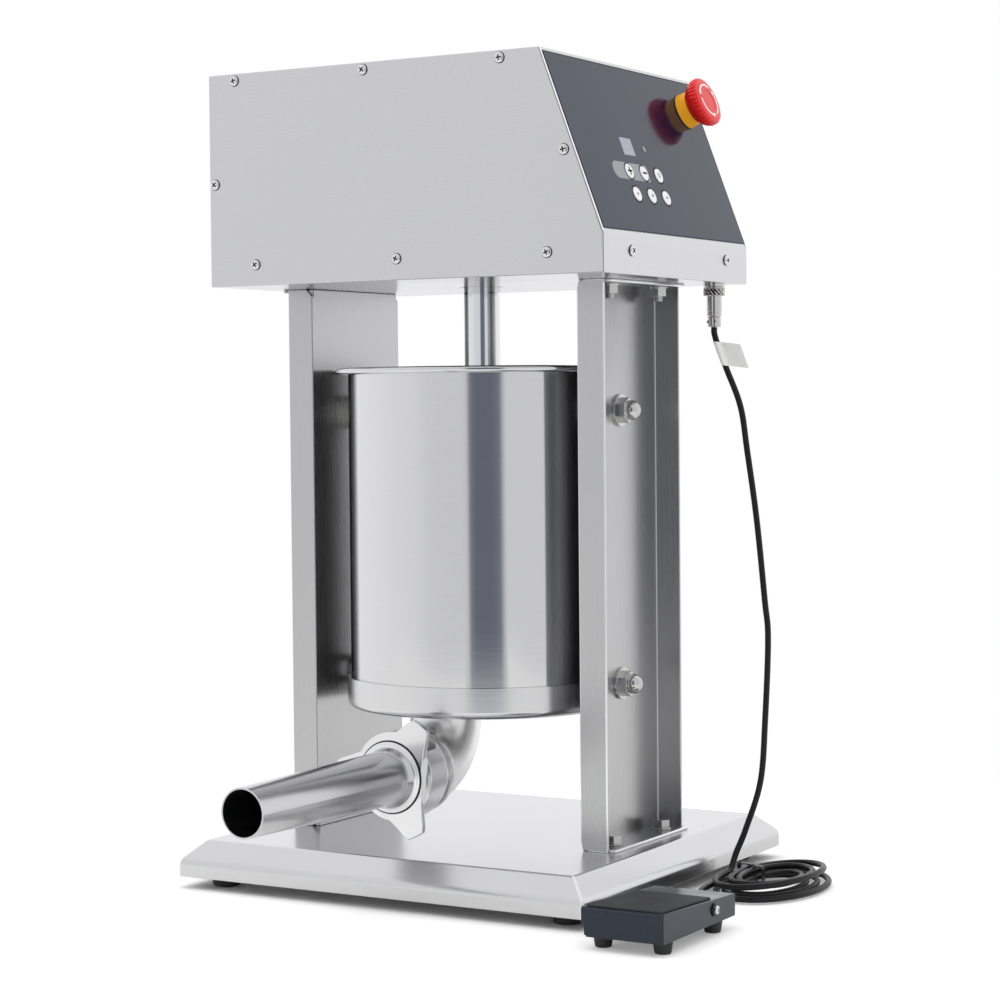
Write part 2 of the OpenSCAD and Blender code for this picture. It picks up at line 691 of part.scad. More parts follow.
module air_valve() color("gainsboro") in_frame() {
  bar_z(piston_z - valve_lift, piston_top + 1, 0, valve_y, valve_r);
  bar_z(piston_z - valve_lift, piston_z - valve_lift + 3, 0, valve_y, 2.5 * valve_r);
  bar_z(piston_top + slip, piston_top + 4, 0, valve_y, 2 * valve_r);
}

// Head
module head_floor() color("silver") in_frame() difference() {
  x0 = head_t - head_left;
  x1 = head_right - head_t;
  z1 = floor_top + upstand_h;
  union() {
    block([x0, wall_y0, head_z], [x1, wall_y1, floor_top]);
    block([x0, wall_y0, head_z], [x1, wall_y0 + upstand_t, z1]);
    block([x0, wall_y1 - upstand_t, head_z], [x1, wall_y1, z1]);
    block([x1 - upstand_t, wall_y0, head_z], [x1, wall_y1, z1]);
  }
  four() bar_z(head_z - 1, floor_top + 1, bolt_x, bolt_y, bolt_d / 2 + slip);
  bar_z(head_z - 1, floor_top + 1, 0, 0, guide_r + fit);
  bar_z(head_z - 1, floor_top + 1, socket_x, socket_y, 8 + fit);
  for (i = [3:5]) bar_y(-head_front, head_back, panel_screws[i][0], panel_screws[i][1], screw_d / 2 + fit);
  for (y = strip_screw_y) bar_x(x1 - upstand_t - 1, x1 + 1, y, head_z + 18, screw_d / 2 + fit);
}
module lips() {
  along_y(wall_y0, wall_y0 + head_t) children();
  along_y(wall_y1 - head_t, wall_y1) children();
}
module head_cover() color("silver") in_frame() difference() {
  x0 = head_t - head_left;
  z0 = floor_top + upstand_h + 1;
  z1 = head_top - head_t;
  xe = slope_x - 12;
  union() {
    along_y(wall_y0, wall_y1) polygon([outline[0], [x0, head_z], inner[4], inner[3] - [seam, 0],
      outline[3] - [seam, 0], outline[4]]);
    lips() polygon([[x0, z0], [x0 + lip_w, z0], [x0 + lip_w, z1 - lip_w], [xe, z1 - lip_w], [xe, z1], [x0, z1]]);
  }
  bar_z(z1 - 1, head_top + 1, 0, 0, guide_r + fit);
  for (i = [0, 1, 2, 6]) bar_y(-head_front, head_back, panel_screws[i][0], panel_screws[i][1], screw_d / 2 + fit);
}
module control_panel() color("silver") in_frame() difference() {
  down = seam * [cos(slope_tilt), -sin(slope_tilt)];
  union() {
    along_y(wall_y0, wall_y1) polygon([[head_right - head_t, head_z], outline[1], outline[2],
      outline[3] + down, inner[3] + down, inner[2]]);
    lips() polygon([slope_point(18, -head_t), slope_point(18, -head_t - lip_w),
      slope_point(slope_len - 8, -head_t - lip_w), slope_point(slope_len - 4, -head_t)]);
  }
  bar_y(-head_front, head_back, panel_screws[7][0], panel_screws[7][1], screw_d / 2 + fit);
  for (y = strip_screw_y) bar_x(head_right - 3, head_right + 1, y, head_z + 18, screw_d / 2 + slip);
  panel_holes(-5, 5);
}
module panel_holes(h0, h1) {
  for (r = [0, 1], c = [-1:1]) slope_bar(row_s + r * row_pitch, key_y + c * key_pitch, h0, h1, key_d / 2 + slip);
  slope_bar(stop_s, stop_y, h0, h1, 11 + slip);
  slope_bar(window_s, light_y, h0, h1, 1.5 + slip);
  on_slope(window_s, window_y) translate([-window_h / 2 - 0.15, -window_w / 2 - 0.15, h0])
    cube([window_h + 0.3, window_w + 0.3, h1 - h0]);
}
window_y = key_y - 0.52 * key_pitch;
light_y = key_y + 0.6 * key_pitch;
module side_panel(y0, y1) along_y(y0, y1) difference() {
  polygon(inset(outline, 0.4));
  for (p = panel_screws) translate(p) circle(screw_d / 2 + slip);
  children();
}
module front_panel() color("silver") in_frame() side_panel(-head_front, wall_y0);
module back_panel() color("silver") in_frame() side_panel(wall_y1, head_back)
  translate([inlet_x - 14, inlet_z - 10.5]) square([28, 21]);
module cover_screws() color("gainsboro") in_frame() {
  for (p = panel_screws) {
    bar_y(-head_front - screw_head_h, -head_front, p[0], p[1], screw_head_d / 2);
    bar_y(-head_front - 1, screw_l - head_front, p[0], p[1], screw_d / 2);
    bar_y(head_back, head_back + screw_head_h, p[0], p[1], screw_head_d / 2);
    bar_y(head_back - screw_l, head_back + 1, p[0], p[1], screw_d / 2);
  }
  for (y = strip_screw_y) {
    bar_x(head_right, head_right + screw_head_h, y, head_z + 18, screw_head_d / 2);
    bar_x(head_right - screw_l, head_right + 1, y, head_z + 18, screw_d / 2);
  }
}
module rod_guides() color("goldenrod") in_frame() difference() {
  union() {
    bar_z(head_z, floor_top + 1, 0, 0, guide_r);
    bar_z(floor_top, floor_top + guide_flange, 0, 0, guide_r + 8);
    bar_z(head_top - guide_top_l, head_top + 1, 0, 0, guide_r);
    bar_z(head_top, head_top + 2.5, 0, 0, guide_r + 6);
  }
  bar_z(head_z - 1, head_top + 5, 0, 0, rod_r + fit);
}
inlet_x = -110;
inlet_z = head_z + 42;
module mains_inlet() color("black") in_frame() difference() {
  union() {
    block([inlet_x - 24, head_back, inlet_z - 12], [inlet_x + 24, head_back + 2.5, inlet_z + 12]);
    block([inlet_x - 13.8, head_back - 24, inlet_z - 10.3], [inlet_x + 13.8, head_back + 1, inlet_z + 10.3]);
  }
  difference() {
    block([inlet_x - 12, head_back - 14, inlet_z - 8], [inlet_x + 12, head_back + 3, inlet_z + 8]);
    for (c = [[-7, -1.5], [0, 2.5], [7, -1.5]])
      block([inlet_x + c[0] - 1, head_back - 15, inlet_z + c[1] - 2], [inlet_x + c[0] + 1, head_back - 2, inlet_z + c[1] + 2]);
  }
}

// Controls
module control_overlay() color("dimgray") in_frame() difference() {
  on_slope(overlay_edge, overlay_edge - head_front) translate([0, 0, fit])
    cube([slope_len - 2 * overlay_edge, head_front + head_back - 2 * overlay_edge, overlay_t - fit]);
  panel_holes(-1, overlay_t + 1);
}
module display_window() color("black") in_frame() on_slope(window_s, window_y)
  translate([-window_h / 2, -window_w / 2, -head_t]) cube([window_h, window_w, head_t + overlay_t]);
board_h = -head_t - 9;
board_t = 1.6;
board_left = 45;
board_right = 37;
board_up = 17;
board_down = 13;
board_post = 4;
module control_board() color("seagreen") in_frame() {
  on_slope(window_s - board_up, key_y - board_left) translate([0, 0, board_h - board_t])
    cube([row_s + row_pitch - window_s + board_up + board_down, board_left + board_right, board_t]);
  for (s = [window_s - board_up + board_post, row_s + row_pitch + board_down - board_post],
    y = [key_y - board_left + board_post, key_y + board_right - board_post])
    slope_bar(s, y, board_h - 1, -head_t, board_post - 1);
  for (r = [0, 1], c = [-1:1]) {
    on_slope(row_s + r * row_pitch, key_y + c * key_pitch) translate([-3, -3, board_h - 1]) cube([6, 6, 4.2]);
    slope_bar(row_s + r * row_pitch, key_y + c * key_pitch, board_h, board_h + 3.6, 1.75);
  }
  slope_bar(window_s, light_y, board_h - 1, overlay_t + 0.6, 1.5);
  on_slope(window_s, window_y) translate([-window_h / 2 - 1, -window_w / 2 - 1, board_h - 1])
    cube([window_h + 2, window_w + 2, 7.5]);
}
module key(row, col) color("white") in_frame() {
  s = row_s + row * row_pitch;
  y = key_y + col * key_pitch;
  slope_bar(s, y, -head_t - 2, overlay_t + key_rise, key_d / 2);
  slope_bar(s, y, -head_t - 2, -head_t - slip, key_d / 2 + 1.2);
  slope_bar(s, y, board_h + 4.6, -head_t - 1, 2.5);
}
module key_plus() key(0, -1);
module key_minus() key(0, 0);
module key_right() key(0, 1);
module key_low_left() key(1, -1);
module key_low_middle() key(1, 0);
module key_low_right() key(1, 1);
stop_top = overlay_t + stop_collar_h;
neck_low = stop_top - 1;
module stop_collar() color("orange") in_frame() difference() {
  on_slope(stop_s, stop_y) translate([0, 0, overlay_t]) cylinder(r1 = stop_collar_r, r2 = stop_collar_r - 0.7, h = stop_collar_h);
  slope_bar(stop_s, stop_y, 0, stop_top + 1, stop_neck_r + slip);
}
module stop_barrel() color("black") in_frame() {
  difference() {
    union() {
      slope_bar(stop_s, stop_y, -22, overlay_t + 2, 11);
      slope_bar(stop_s, stop_y, overlay_t, overlay_t + 2.4, 13);
      slope_bar(stop_s, stop_y, -head_t - 5, -head_t, 15);
    }
    slope_bar(stop_s, stop_y, -21, overlay_t + 5, 6 + slip);
  }
  on_slope(stop_s, stop_y) translate([-14, -14, -46]) cube([28, 28, 24]);
}
module stop_stem() color("gray") in_frame() slope_bar(stop_s, stop_y, -15, stop_top + 9, 6);
stop_neck_r = 13;
stop_recess_r = stop_collar_r + 0.5;
module stop_cap() color("red") in_frame() difference() {
  union() {
    difference() {
      union() {
        on_slope(stop_s, stop_y) translate([0, 0, stop_top + 2]) cylinder(r1 = stop_recess_r + 1, r2 = stop_cap_r, h = 4);
        slope_bar(stop_s, stop_y, stop_top + 6, stop_top + 6 + stop_cap_h - 1.5, stop_cap_r);
        on_slope(stop_s, stop_y) translate([0, 0, stop_top + 4.5 + stop_cap_h])
          cylinder(r1 = stop_cap_r, r2 = stop_cap_r - 2.5, h = 1.5);
      }
      slope_bar(stop_s, stop_y, stop_top, stop_top + stop_travel + slip, stop_recess_r);
    }
    slope_bar(stop_s, stop_y, neck_low, stop_top + 6, stop_neck_r);
  }
  slope_bar(stop_s, stop_y, neck_low - 1, stop_top + 9.4, 6 + slip);
  for (a = [0:15:345]) on_slope(stop_s, stop_y) rotate(a) translate([stop_cap_r + 0.6, 0, stop_top + 5])
    cylinder(r = 1.2, h = stop_cap_h + 3);
}

// Drive inside the head
module bearing_shape() difference() {
  union() {
    polygon([[shaft_y - plate_foot, floor_top], [shaft_y + plate_foot, floor_top],
      [shaft_y + bearing_r + plate_wall, shaft_z], [shaft_y - bearing_r - plate_wall, shaft_z]]);
    translate([shaft_y, shaft_z]) circle(bearing_r + plate_wall);
  }
  translate([shaft_y, shaft_z]) circle(bearing_r + fit);
}
module drive_plates() color("gray") in_frame() {
  both_x() along_x(plate_x, plate_x + plate_t) bearing_shape();
  along_x(bracket_x - bracket_t, bracket_x) difference() {
    union() {
      translate([drive_y, drive_z]) circle(reducer_r + bracket_edge);
      translate([drive_y - reducer_r - bracket_edge, floor_top]) square([2 * (reducer_r + bracket_edge), drive_z - floor_top]);
    }
    translate([0, floor_top - 100]) translate([drive_y - 200, 0]) square([400, 100]);
    translate([drive_y, drive_z]) circle(boss_r + fit);
  }
}
module pinion_bearings() color("gainsboro") in_frame() both_x() difference() {
  bar_x(plate_x, plate_x + plate_t, shaft_y, shaft_z, bearing_r);
  bar_x(plate_x - 1, plate_x + plate_t + 1, shaft_y, shaft_z, shaft_r + fit);
}
module pinion_shaft() color("gray") in_frame() {
  bar_x(gear_x - 4, plate_x + plate_t + 4, shaft_y, shaft_z, shaft_r);
  bar_x(slip - plate_x, plate_x - slip, shaft_y, shaft_z, shaft_r + 2.5);
  translate([0, shaft_y, shaft_z]) along_x(-pinion_w / 2, pinion_w / 2) polygon(gear_shape(rack_m, pinion_n, 180));
}
module drive_gear() color("darkgray") in_frame() difference() {
  union() {
    translate([0, shaft_y, shaft_z]) along_x(gear_x, gear_x + gear_w) polygon(gear_shape(gear_m, gear_n, gear_dir));
    bar_x(gear_x - 3, -plate_x - plate_t - 1, shaft_y, shaft_z, shaft_r + 7);
  }
  bar_x(gear_x - 4, 0, shaft_y, shaft_z, shaft_r + fit);
  for (a = [0:60:300]) bar_x(gear_x - 1, gear_x + gear_w + 1, shaft_y + 36 * cos(a), shaft_z + 36 * sin(a), 9);
}
module motor_pinion() color("darkgray") in_frame() {
  bar_x(bracket_x - 18, gear_x + gear_w + 1, drive_y, drive_z, out_r);
  translate([0, drive_y, drive_z]) along_x(gear_x - 1, gear_x + gear_w + 1)
    polygon(gear_shape(gear_m, motor_n, gear_dir + 180 + 180 / motor_n));
}
module gear_motor() color("dimgray") in_frame() difference() {
  x0 = bracket_x - bracket_t;
  union() {
    bar_x(x0 - 1, bracket_x + 2, drive_y, drive_z, boss_r);
    bar_x(x0 - reducer_l, x0, drive_y, drive_z, reducer_r);
    bar_x(x0 - reducer_l - motor_l, x0 - reducer_l, drive_y, drive_z, motor_r);
    bar_x(x0 - reducer_l - motor_l - 4, x0 - reducer_l, drive_y, drive_z, 12);
  }
  bar_x(x0 - 14, bracket_x + 3, drive_y, drive_z, out_r + fit);
}

// Pedal plug and cord
module pedal_socket() color("silver") in_frame() {
  bar_z(head_z - 2, head_z, socket_x, socket_y, 8.8);
  bar_z(head_z - 8, floor_top + 6, socket_x, socket_y, 7.2);
  bar_z(head_z - 1, floor_top + 1, socket_x, socket_y, 8);
  hex_z(floor_top, floor_top + 4, socket_x, socket_y, 17.5);
}
module plug_ring() color("silver") in_frame() difference() {
  bar_z(head_z - 10.2, head_z - 2.4, socket_x, socket_y, 8.8);
  bar_z(head_z - 9.2, head_z, socket_x, socket_y, 7.2 + slip);
  bar_z(head_z - 12, head_z, socket_x, socket_y, 6.2 + slip);
}
module cable_plug() color("silver") in_frame() {
  bar_z(head_z - 27, head_z - 8.3, socket_x, socket_y, 6.2);
  bar_z(head_z - 8.9, head_z - 8.3, socket_x, socket_y, 7.2);
  bar_z(plug_z, head_z - 26, socket_x, socket_y, 5.5);
}
module cord_drop() color("black") in_frame() tube(smooth_path(drop_path, 3), [1, 0, 0], cord_r, cord_sides);
module cord_coil() color("black") in_frame() tube(coil_path, [0, 0, 1], cord_r, coil_sides);
module cord_lead() color("black") in_frame() tube(smooth_path(lead_path, 2), [0, 0, 1], cord_r, cord_sides);
module cord_tie() color("dimgray") in_frame() {
  p0 = coil_point(tie_turn);
  p1 = coil_point(turns_in + tie_turn);
  ahead = coil_point(tie_turn + 0.01) - coil_point(tie_turn - 0.01);
  across = unit([ahead[1], -ahead[0]]);
  reach = abs([p1[0] - p0[0], p1[1] - p0[1]] * across) / 2 + cord_r + tie_room;
  h = layer_h + cord_d + 2 * slip;
  translate([(p0[0] + p1[0]) / 2, (p0[1] + p1[1]) / 2, tie_t]) rotate(atan2(across[1], across[0]))
    along_y(-tie_w / 2, tie_w / 2) difference() {
      translate([-reach - tie_t, -tie_t]) square([2 * (reach + tie_t), h + 2 * tie_t]);
      translate([-reach, 0]) square([2 * reach, h]);
    }
}

// Pedal
function hood_top(y) = pedal_back_h + (pedal_back - y) * tan(pedal_tilt);
module hood_side(d) polygon([[pedal_y + d, pedal_gap - 5 * d], [pedal_back + 5 * d, pedal_gap - 5 * d],
  [pedal_back + 5 * d, hood_top(pedal_back + 5 * d) - d / cos(pedal_tilt)],
  [pedal_y + max(d, 2.5), hood_top(pedal_y + 2.5) - d / cos(pedal_tilt)],
  [pedal_y + d, hood_top(pedal_y) - d / cos(pedal_tilt) - (d > 0 ? 0 : 2)]]);
module pedal_hood() color("#222222") in_frame() difference() {
  along_x(pedal_x0, pedal_x1) hood_side(0);
  along_x(pedal_x0 + pedal_t, pedal_x1 - pedal_t) hood_side(pedal_t);
  bar_x(pedal_x0 - 1, pedal_x1 + 1, pivot_y, pivot_z, pivot_r + 2 * fit);
  block([pedal_x0 - 1, pedal_y - 1, 0], [pedal_x0 + 4, pedal_y + 5, pedal_front_h - 12]);
}
module pedal_pad() color("#181818") in_frame() translate([0, pedal_y + 4, hood_top(pedal_y + 4)])
  rotate([-pedal_tilt, 0, 0]) along_x(pedal_x0 + 3, pedal_x1 - 3) union() {
    square([pad_l, 0.8]);
    for (k = [0:floor(pad_l / rib_pitch) - 1]) translate([k * rib_pitch + 0.6, 0]) square([0.55 * rib_pitch, 1.6]);
  }
module pedal_base() color("#333333") in_frame() {
  difference() {
    union() {
      block([pedal_x - tray_x, tray_y0, tray_z], [pedal_x + tray_x, tray_y1, tray_z + tray_t]);
      for (k = [-1, 1]) translate([pedal_x, 0, 0]) mirror([k < 0 ? 1 : 0, 0, 0])
        block([tray_x - tray_t, pivot_y - 10, tray_z], [tray_x, pivot_y + 10, pivot_z + 4.5]);
      block([pedal_x - tray_x, tray_y1 - tray_t, tray_z], [pedal_x + tray_x, tray_y1, gland_z + gland_r + 1]);
    }
    bar_x(pedal_x0, pedal_x1, pivot_y, pivot_z, pivot_r + fit);
  }
  bar_y(tray_y1 - 1, tray_y1 + gland_l, pedal_x, gland_z, gland_r);
}
module pedal_feet() color("#202020") in_frame()
  for (x = [-0.36, 0.36] * pedal_w, y = [pedal_y + 17, pedal_back - 19])
    translate([pedal_x + x, y, 0]) cylinder(r1 = 6, r2 = 7.5, h = tray_z);
module pedal_pivot() color("gainsboro") in_frame() {
  bar_x(pedal_x - pin_end, pedal_x + pin_end, pivot_y, pivot_z, pivot_r);
  translate([pedal_x, 0, 0]) both_x() {
    bar_x(pin_end, pin_end + 1, pivot_y, pivot_z, 1.6 * pivot_r);
    bar_x(pin_end, pin_end + pin_head, pivot_y, pivot_z, 1.1 * pivot_r);
  }
}
switch_top = tray_z + tray_t + 9.5;
plunger_top = hood_top(switch_y) - pedal_t / cos(pedal_tilt) - slip - plunger_r * tan(pedal_tilt);
module pedal_switch() color("#111111") in_frame() difference() {
  block([pedal_x - 10, switch_y - 15, tray_z + tray_t], [pedal_x + 10, switch_y + 15, switch_top]);
  bar_z(tray_z + tray_t + 1.5, switch_top + 1, pedal_x, switch_y, plunger_r + 2 * fit);
}
module pedal_plunger() color("firebrick") in_frame() bar_z(tray_z + tray_t + 5, plunger_top, pedal_x, switch_y, plunger_r);

base_pan();
base_feet();
left_column();
right_column();
column_bolts();
cylinder_studs();
frame_nuts();
guide_pads();
cylinder_barrel();
cylinder_pan();
outlet_elbow();
outlet_ferrule();
nozzle_gasket();
nozzle();
nozzle_nut();
piston_rod();
piston_plate();
piston_seal();
air_valve();
head_floor();
head_cover();
control_panel();
front_panel();
back_panel();
cover_screws();
rod_guides();
mains_inlet();
control_overlay();
display_window();
control_board();
key_plus();
key_minus();
key_right();
key_low_left();
key_low_middle();
key_low_right();
stop_collar();
stop_barrel();
stop_stem();
stop_cap();
drive_plates();
pinion_bearings();
pinion_shaft();
drive_gear();
motor_pinion();
gear_motor();
pedal_socket();
plug_ring();
cable_plug();
cord_drop();
cord_coil();
cord_lead();
cord_tie();
pedal_base();
pedal_feet();
pedal_hood();
pedal_pad();
pedal_pivot();
pedal_switch();
pedal_plunger();
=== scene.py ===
"""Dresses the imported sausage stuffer: finishes, cord, small parts, studio light and camera."""

from __future__ import annotations

import logging
import math
from collections.abc import Iterable, Sequence
from dataclasses import dataclass
from enum import Enum

import bmesh
import bpy
from bmesh.types import BMEdge, BMesh, BMVert
from bpy.types import Material, Mesh, Node, NodeSocket, NodeTree, Object
from mathutils import Matrix, Vector

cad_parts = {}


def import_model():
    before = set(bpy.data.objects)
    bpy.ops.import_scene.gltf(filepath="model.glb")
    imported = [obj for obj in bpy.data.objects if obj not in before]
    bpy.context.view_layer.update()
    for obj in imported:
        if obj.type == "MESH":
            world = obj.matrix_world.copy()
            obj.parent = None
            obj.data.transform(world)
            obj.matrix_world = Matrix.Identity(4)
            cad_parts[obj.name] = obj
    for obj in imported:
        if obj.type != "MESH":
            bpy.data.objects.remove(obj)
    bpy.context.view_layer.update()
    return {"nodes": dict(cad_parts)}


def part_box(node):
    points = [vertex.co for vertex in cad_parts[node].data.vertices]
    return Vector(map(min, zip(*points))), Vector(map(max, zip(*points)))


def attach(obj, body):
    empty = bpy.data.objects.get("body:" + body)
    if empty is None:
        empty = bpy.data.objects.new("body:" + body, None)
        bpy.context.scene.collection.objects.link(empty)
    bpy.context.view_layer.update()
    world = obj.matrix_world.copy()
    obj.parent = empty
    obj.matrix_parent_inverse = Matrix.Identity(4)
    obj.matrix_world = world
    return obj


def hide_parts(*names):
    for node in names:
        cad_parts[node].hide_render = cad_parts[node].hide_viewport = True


LOG = logging.getLogger("sausage_stuffer")
MM = 0.001
QUARTER = math.pi / 2
ROD_AXIS = Vector((-0.04765, 0.0823, 0.0))
SLOPE_TOP = (138.0, 0.0, 653.5)
SLOPE_TILT = math.atan2(139.5, 53.0)
BUMP_DEEP = 0.0004
SHARP = 32.0
MERGE_GAP = 2e-6
FLAT = math.radians(0.6)
Point = tuple[float, float]
Triple = tuple[float, float, float]
Profile = Sequence[Point]
Inputs = dict[str | int, object]


def at(x: float, y: float, z: float) -> Vector:
    """Point in the row frame from millimetres counted from the foot of the rod's axis."""
    return ROD_AXIS + Vector((x, y, z)) * MM


def place(x: float, y: float, z: float) -> Matrix:
    """Matrix that moves a shape's zero to a point counted from the rod's axis."""
    return Matrix.Translation(at(x, y, z))


def turned(angle: float, axis: str = "Z") -> Matrix:
    """Turn about an axis by an angle in radians."""
    return Matrix.Rotation(angle, 4, axis)


def along_x(x: float, y: float, z: float, way: int = 1) -> Matrix:
    """Place of a shape whose own Z axis points along X, to the right or to the left."""
    return place(x, y, z) @ turned(way * QUARTER, "Y")


def along_y(x: float, y: float, z: float, way: int = -1) -> Matrix:
    """Place of a shape whose own Z axis points along Y, to the nozzle's tip or to the back."""
    return place(x, y, z) @ turned(-way * QUARTER, "X")


def slope_place(s: float, y: float, h: float = 0.0) -> Matrix:
    """Matrix of the control slope: X runs down it, Y along it and Z out of it.

    Args:
        s: Distance in mm from the slope's top edge.
        y: Distance in mm along Y from the rod's axis.
        h: Height in mm above the steel.

    Returns:
        The place of that point, turned to the slope.
    """
    top = place(*SLOPE_TOP) @ turned(SLOPE_TILT, "Y")
    return top @ Matrix.Translation(Vector((s, y, h)) * MM)


def arc(r: float, start: float, stop: float, steps: int, mid: Point = (0.0, 0.0)) -> list[Point]:
    """Points of an arc, with both its ends.

    Args:
        r: Radius.
        start: First angle in degrees.
        stop: Last angle in degrees.
        steps: Steps between them.
        mid: Centre.

    Returns:
        The points in order.
    """
    turn = [math.radians(start + (stop - start) * i / steps) for i in range(steps + 1)]
    return [(mid[0] + r * math.cos(a), mid[1] + r * math.sin(a)) for a in turn]


def verts_of(geom: Iterable[object]) -> list[BMVert]:
    """The vertices among what an operator gives back."""
    return [g for g in geom if isinstance(g, BMVert)]


def new_object(name: str, data: bpy.types.ID) -> Object:
    """Object for some data, linked to the scene.

    Args:
        name: Its name.
        data: Its mesh, curve, camera or light.

    Returns:
        The object.
    """
    made = bpy.data.objects.new(name, data)
    bpy.context.scene.collection.objects.link(made)
    return made


class Wiring:
    """Short calls that fill one node tree."""

    def __init__(self, tree: NodeTree) -> None:
        """Takes the tree to fill."""
        self.tree = tree

    def feed(self, node: Node, inputs: Inputs) -> Node:
        """Sets a node's inputs.

        Args:
            node: The node.
            inputs: A value, or a socket to join, for each input by name or number.

        Returns:
            The same node.
        """
        for key, given in inputs.items():
            if isinstance(given, NodeSocket):
                self.tree.links.new(given, node.inputs[key])
            else:
                node.inputs[key].default_value = given
        return node

    def add(self, kind: str, inputs: Inputs | None = None, **settings: object) -> bpy.types.NodeOutputs:
        """Adds a node.

        Args:
            kind: Its type without the leading ShaderNode.
            inputs: Values and sockets for its inputs.
            settings: Its properties, such as its operation.

        Returns:
            Its output sockets.
        """
        node = self.tree.nodes.new(f"ShaderNode{kind}")
        for name, value in settings.items():
            setattr(node, name, value)
        return self.feed(node, inputs or {}).outputs

    def math(self, operation: str, *given: object) -> NodeSocket:
        """Result of a Math node for values or sockets."""
        return self.add("Math", dict(enumerate(given)), operation=operation)[0]

    def vector(self, operation: str, *given: object, result: str = "Vector") -> NodeSocket:
        """Result of a Vector Math node for values or sockets."""
        return self.add("VectorMath", dict(enumerate(given)), operation=operation)[result]

    def mix(self, factor: NodeSocket, first: object, second: object) -> NodeSocket:
        """Colour between two others."""
        return self.add("Mix", {"Factor": factor, 6: first, 7: second}, data_type="RGBA")[2]

    def noise(self, where: NodeSocket, scale: object, detail: float) -> NodeSocket:
        """Value of a noise pattern."""
        return self.add("TexNoise", {"Vector": where, "Scale": scale, "Detail": detail})["Fac"]

    def span(
        self,
        value: NodeSocket,
        low: float,
        high: float,
        to: Sequence[object] = (0.0, 1.0),
        kind: str = "LINEAR",
    ) -> NodeSocket:
        """Number that goes between two ends while a value does.

        Args:
            value: Socket with the value.
            low: Where the value starts.
            high: Where it ends.
            to: The two ends of the number.
            kind: How it goes between them.

        Returns:
            The number's socket.
        """
        ends = {"Value": value, "From Min": low, "From Max": high, "To Min": to[0], "To Max": to[1]}
        return self.add("MapRange", ends, interpolation_type=kind)["Result"]

    def tones(self, value: NodeSocket, tones: Sequence[tuple[float, Triple]]) -> NodeSocket:
        """Colour from a ramp.

        Args:
            value: Socket with the place on the ramp.
            tones: Places from 0 to 1 and their colours.

        Returns:
            The colour's socket.
        """
        node = self.tree.nodes.new("ShaderNodeValToRGB")
        elements = node.color_ramp.elements
        while len(elements) < len(tones):
            elements.new(0.5)
        for knot, (where, tone) in zip(elements, tones):
            knot.position = where
            knot.color = (*tone, 1)
        return self.feed(node, {"Fac": value}).outputs["Color"]


class Lay(Enum):
    """Direction of the grinding lines, as the pattern's scale along X, Y and Z."""

    ALONG_X = (6.0, 900.0, 900.0)
    ALONG_Y = (900.0, 6.0, 900.0)
    ALONG_Z = (900.0, 900.0, 6.0)
    ROUND_Z = (30.0, 30.0, 900.0)
    ROUND_Y = (30.0, 900.0, 30.0)


class Groups:
    """Shader node groups that several finishes share, each built once."""

    shades = (("Dark", "Color"), ("Light", "Color"), ("Rough Low", "Float"), ("Rough High", "Float"))
    results = (("Color", "Color"), ("Roughness", "Float"), ("Height", "Float"))
    rough_span = (0.3, 0.7)
    line_share = 0.55

    @classmethod
    def new(cls, name: str, *own: tuple[str, str]) -> tuple[Wiring, bpy.types.NodeOutputs, Node]:
        """Starts a group.

        Args:
            name: Its name.
            own: Label and kind of each input that it doesn't share.

        Returns:
            Its wiring, the sockets of its inputs, and its output node.
        """
        tree = bpy.data.node_groups.new(name, "ShaderNodeTree")
        for way, sockets in (("INPUT", (*own, *cls.shades)), ("OUTPUT", cls.results)):
            for label, kind in sockets:
                tree.interface.new_socket(label, in_out=way, socket_type=f"NodeSocket{kind}")
        return Wiring(tree), tree.nodes.new("NodeGroupInput").outputs, tree.nodes.new("NodeGroupOutput")

    @classmethod
    def ground_lines(cls) -> NodeTree:
        """Fine grinding lines with cloudy handling marks, for sheet steel.

        Returns:
            The group.
        """
        wiring, start, end = cls.new("ground_lines", ("Line Vector", "Vector"), ("Cloud Vector", "Vector"))
        lines = wiring.noise(start["Line Vector"], 1.0, 3.0)
        clouds = wiring.noise(start["Cloud Vector"], 9.0, 4.0)
        half = wiring.math("MULTIPLY", clouds, 1.0 - cls.line_share)
        blend = wiring.math("MULTIPLY_ADD", lines, cls.line_share, half)
        tint = wiring.mix(blend, start["Dark"], start["Light"])
        rough = wiring.span(blend, *cls.rough_span, (start["Rough Low"], start["Rough High"]))
        wiring.feed(end, {"Color": tint, "Roughness": rough, "Height": lines})
        return wiring.tree

    @classmethod
    def moulded_grain(cls) -> NodeTree:
        """Fine grain with faint colour drift and rubbed patches, for plastic, rubber and paint.

        Returns:
            The group.
        """
        wiring, start, end = cls.new("moulded_grain", ("Vector", "Vector"), ("Grain Scale", "Float"))
        grain = wiring.noise(start["Vector"], start["Grain Scale"], 2.0)
        drift = wiring.noise(start["Vector"], 45.0, 5.0)
        tint = wiring.mix(drift, start["Dark"], start["Light"])
        rough = wiring.span(drift, *cls.rough_span, (start["Rough Low"], start["Rough High"]))
        wiring.feed(end, {"Color": tint, "Roughness": rough, "Height": grain})
        return wiring.tree


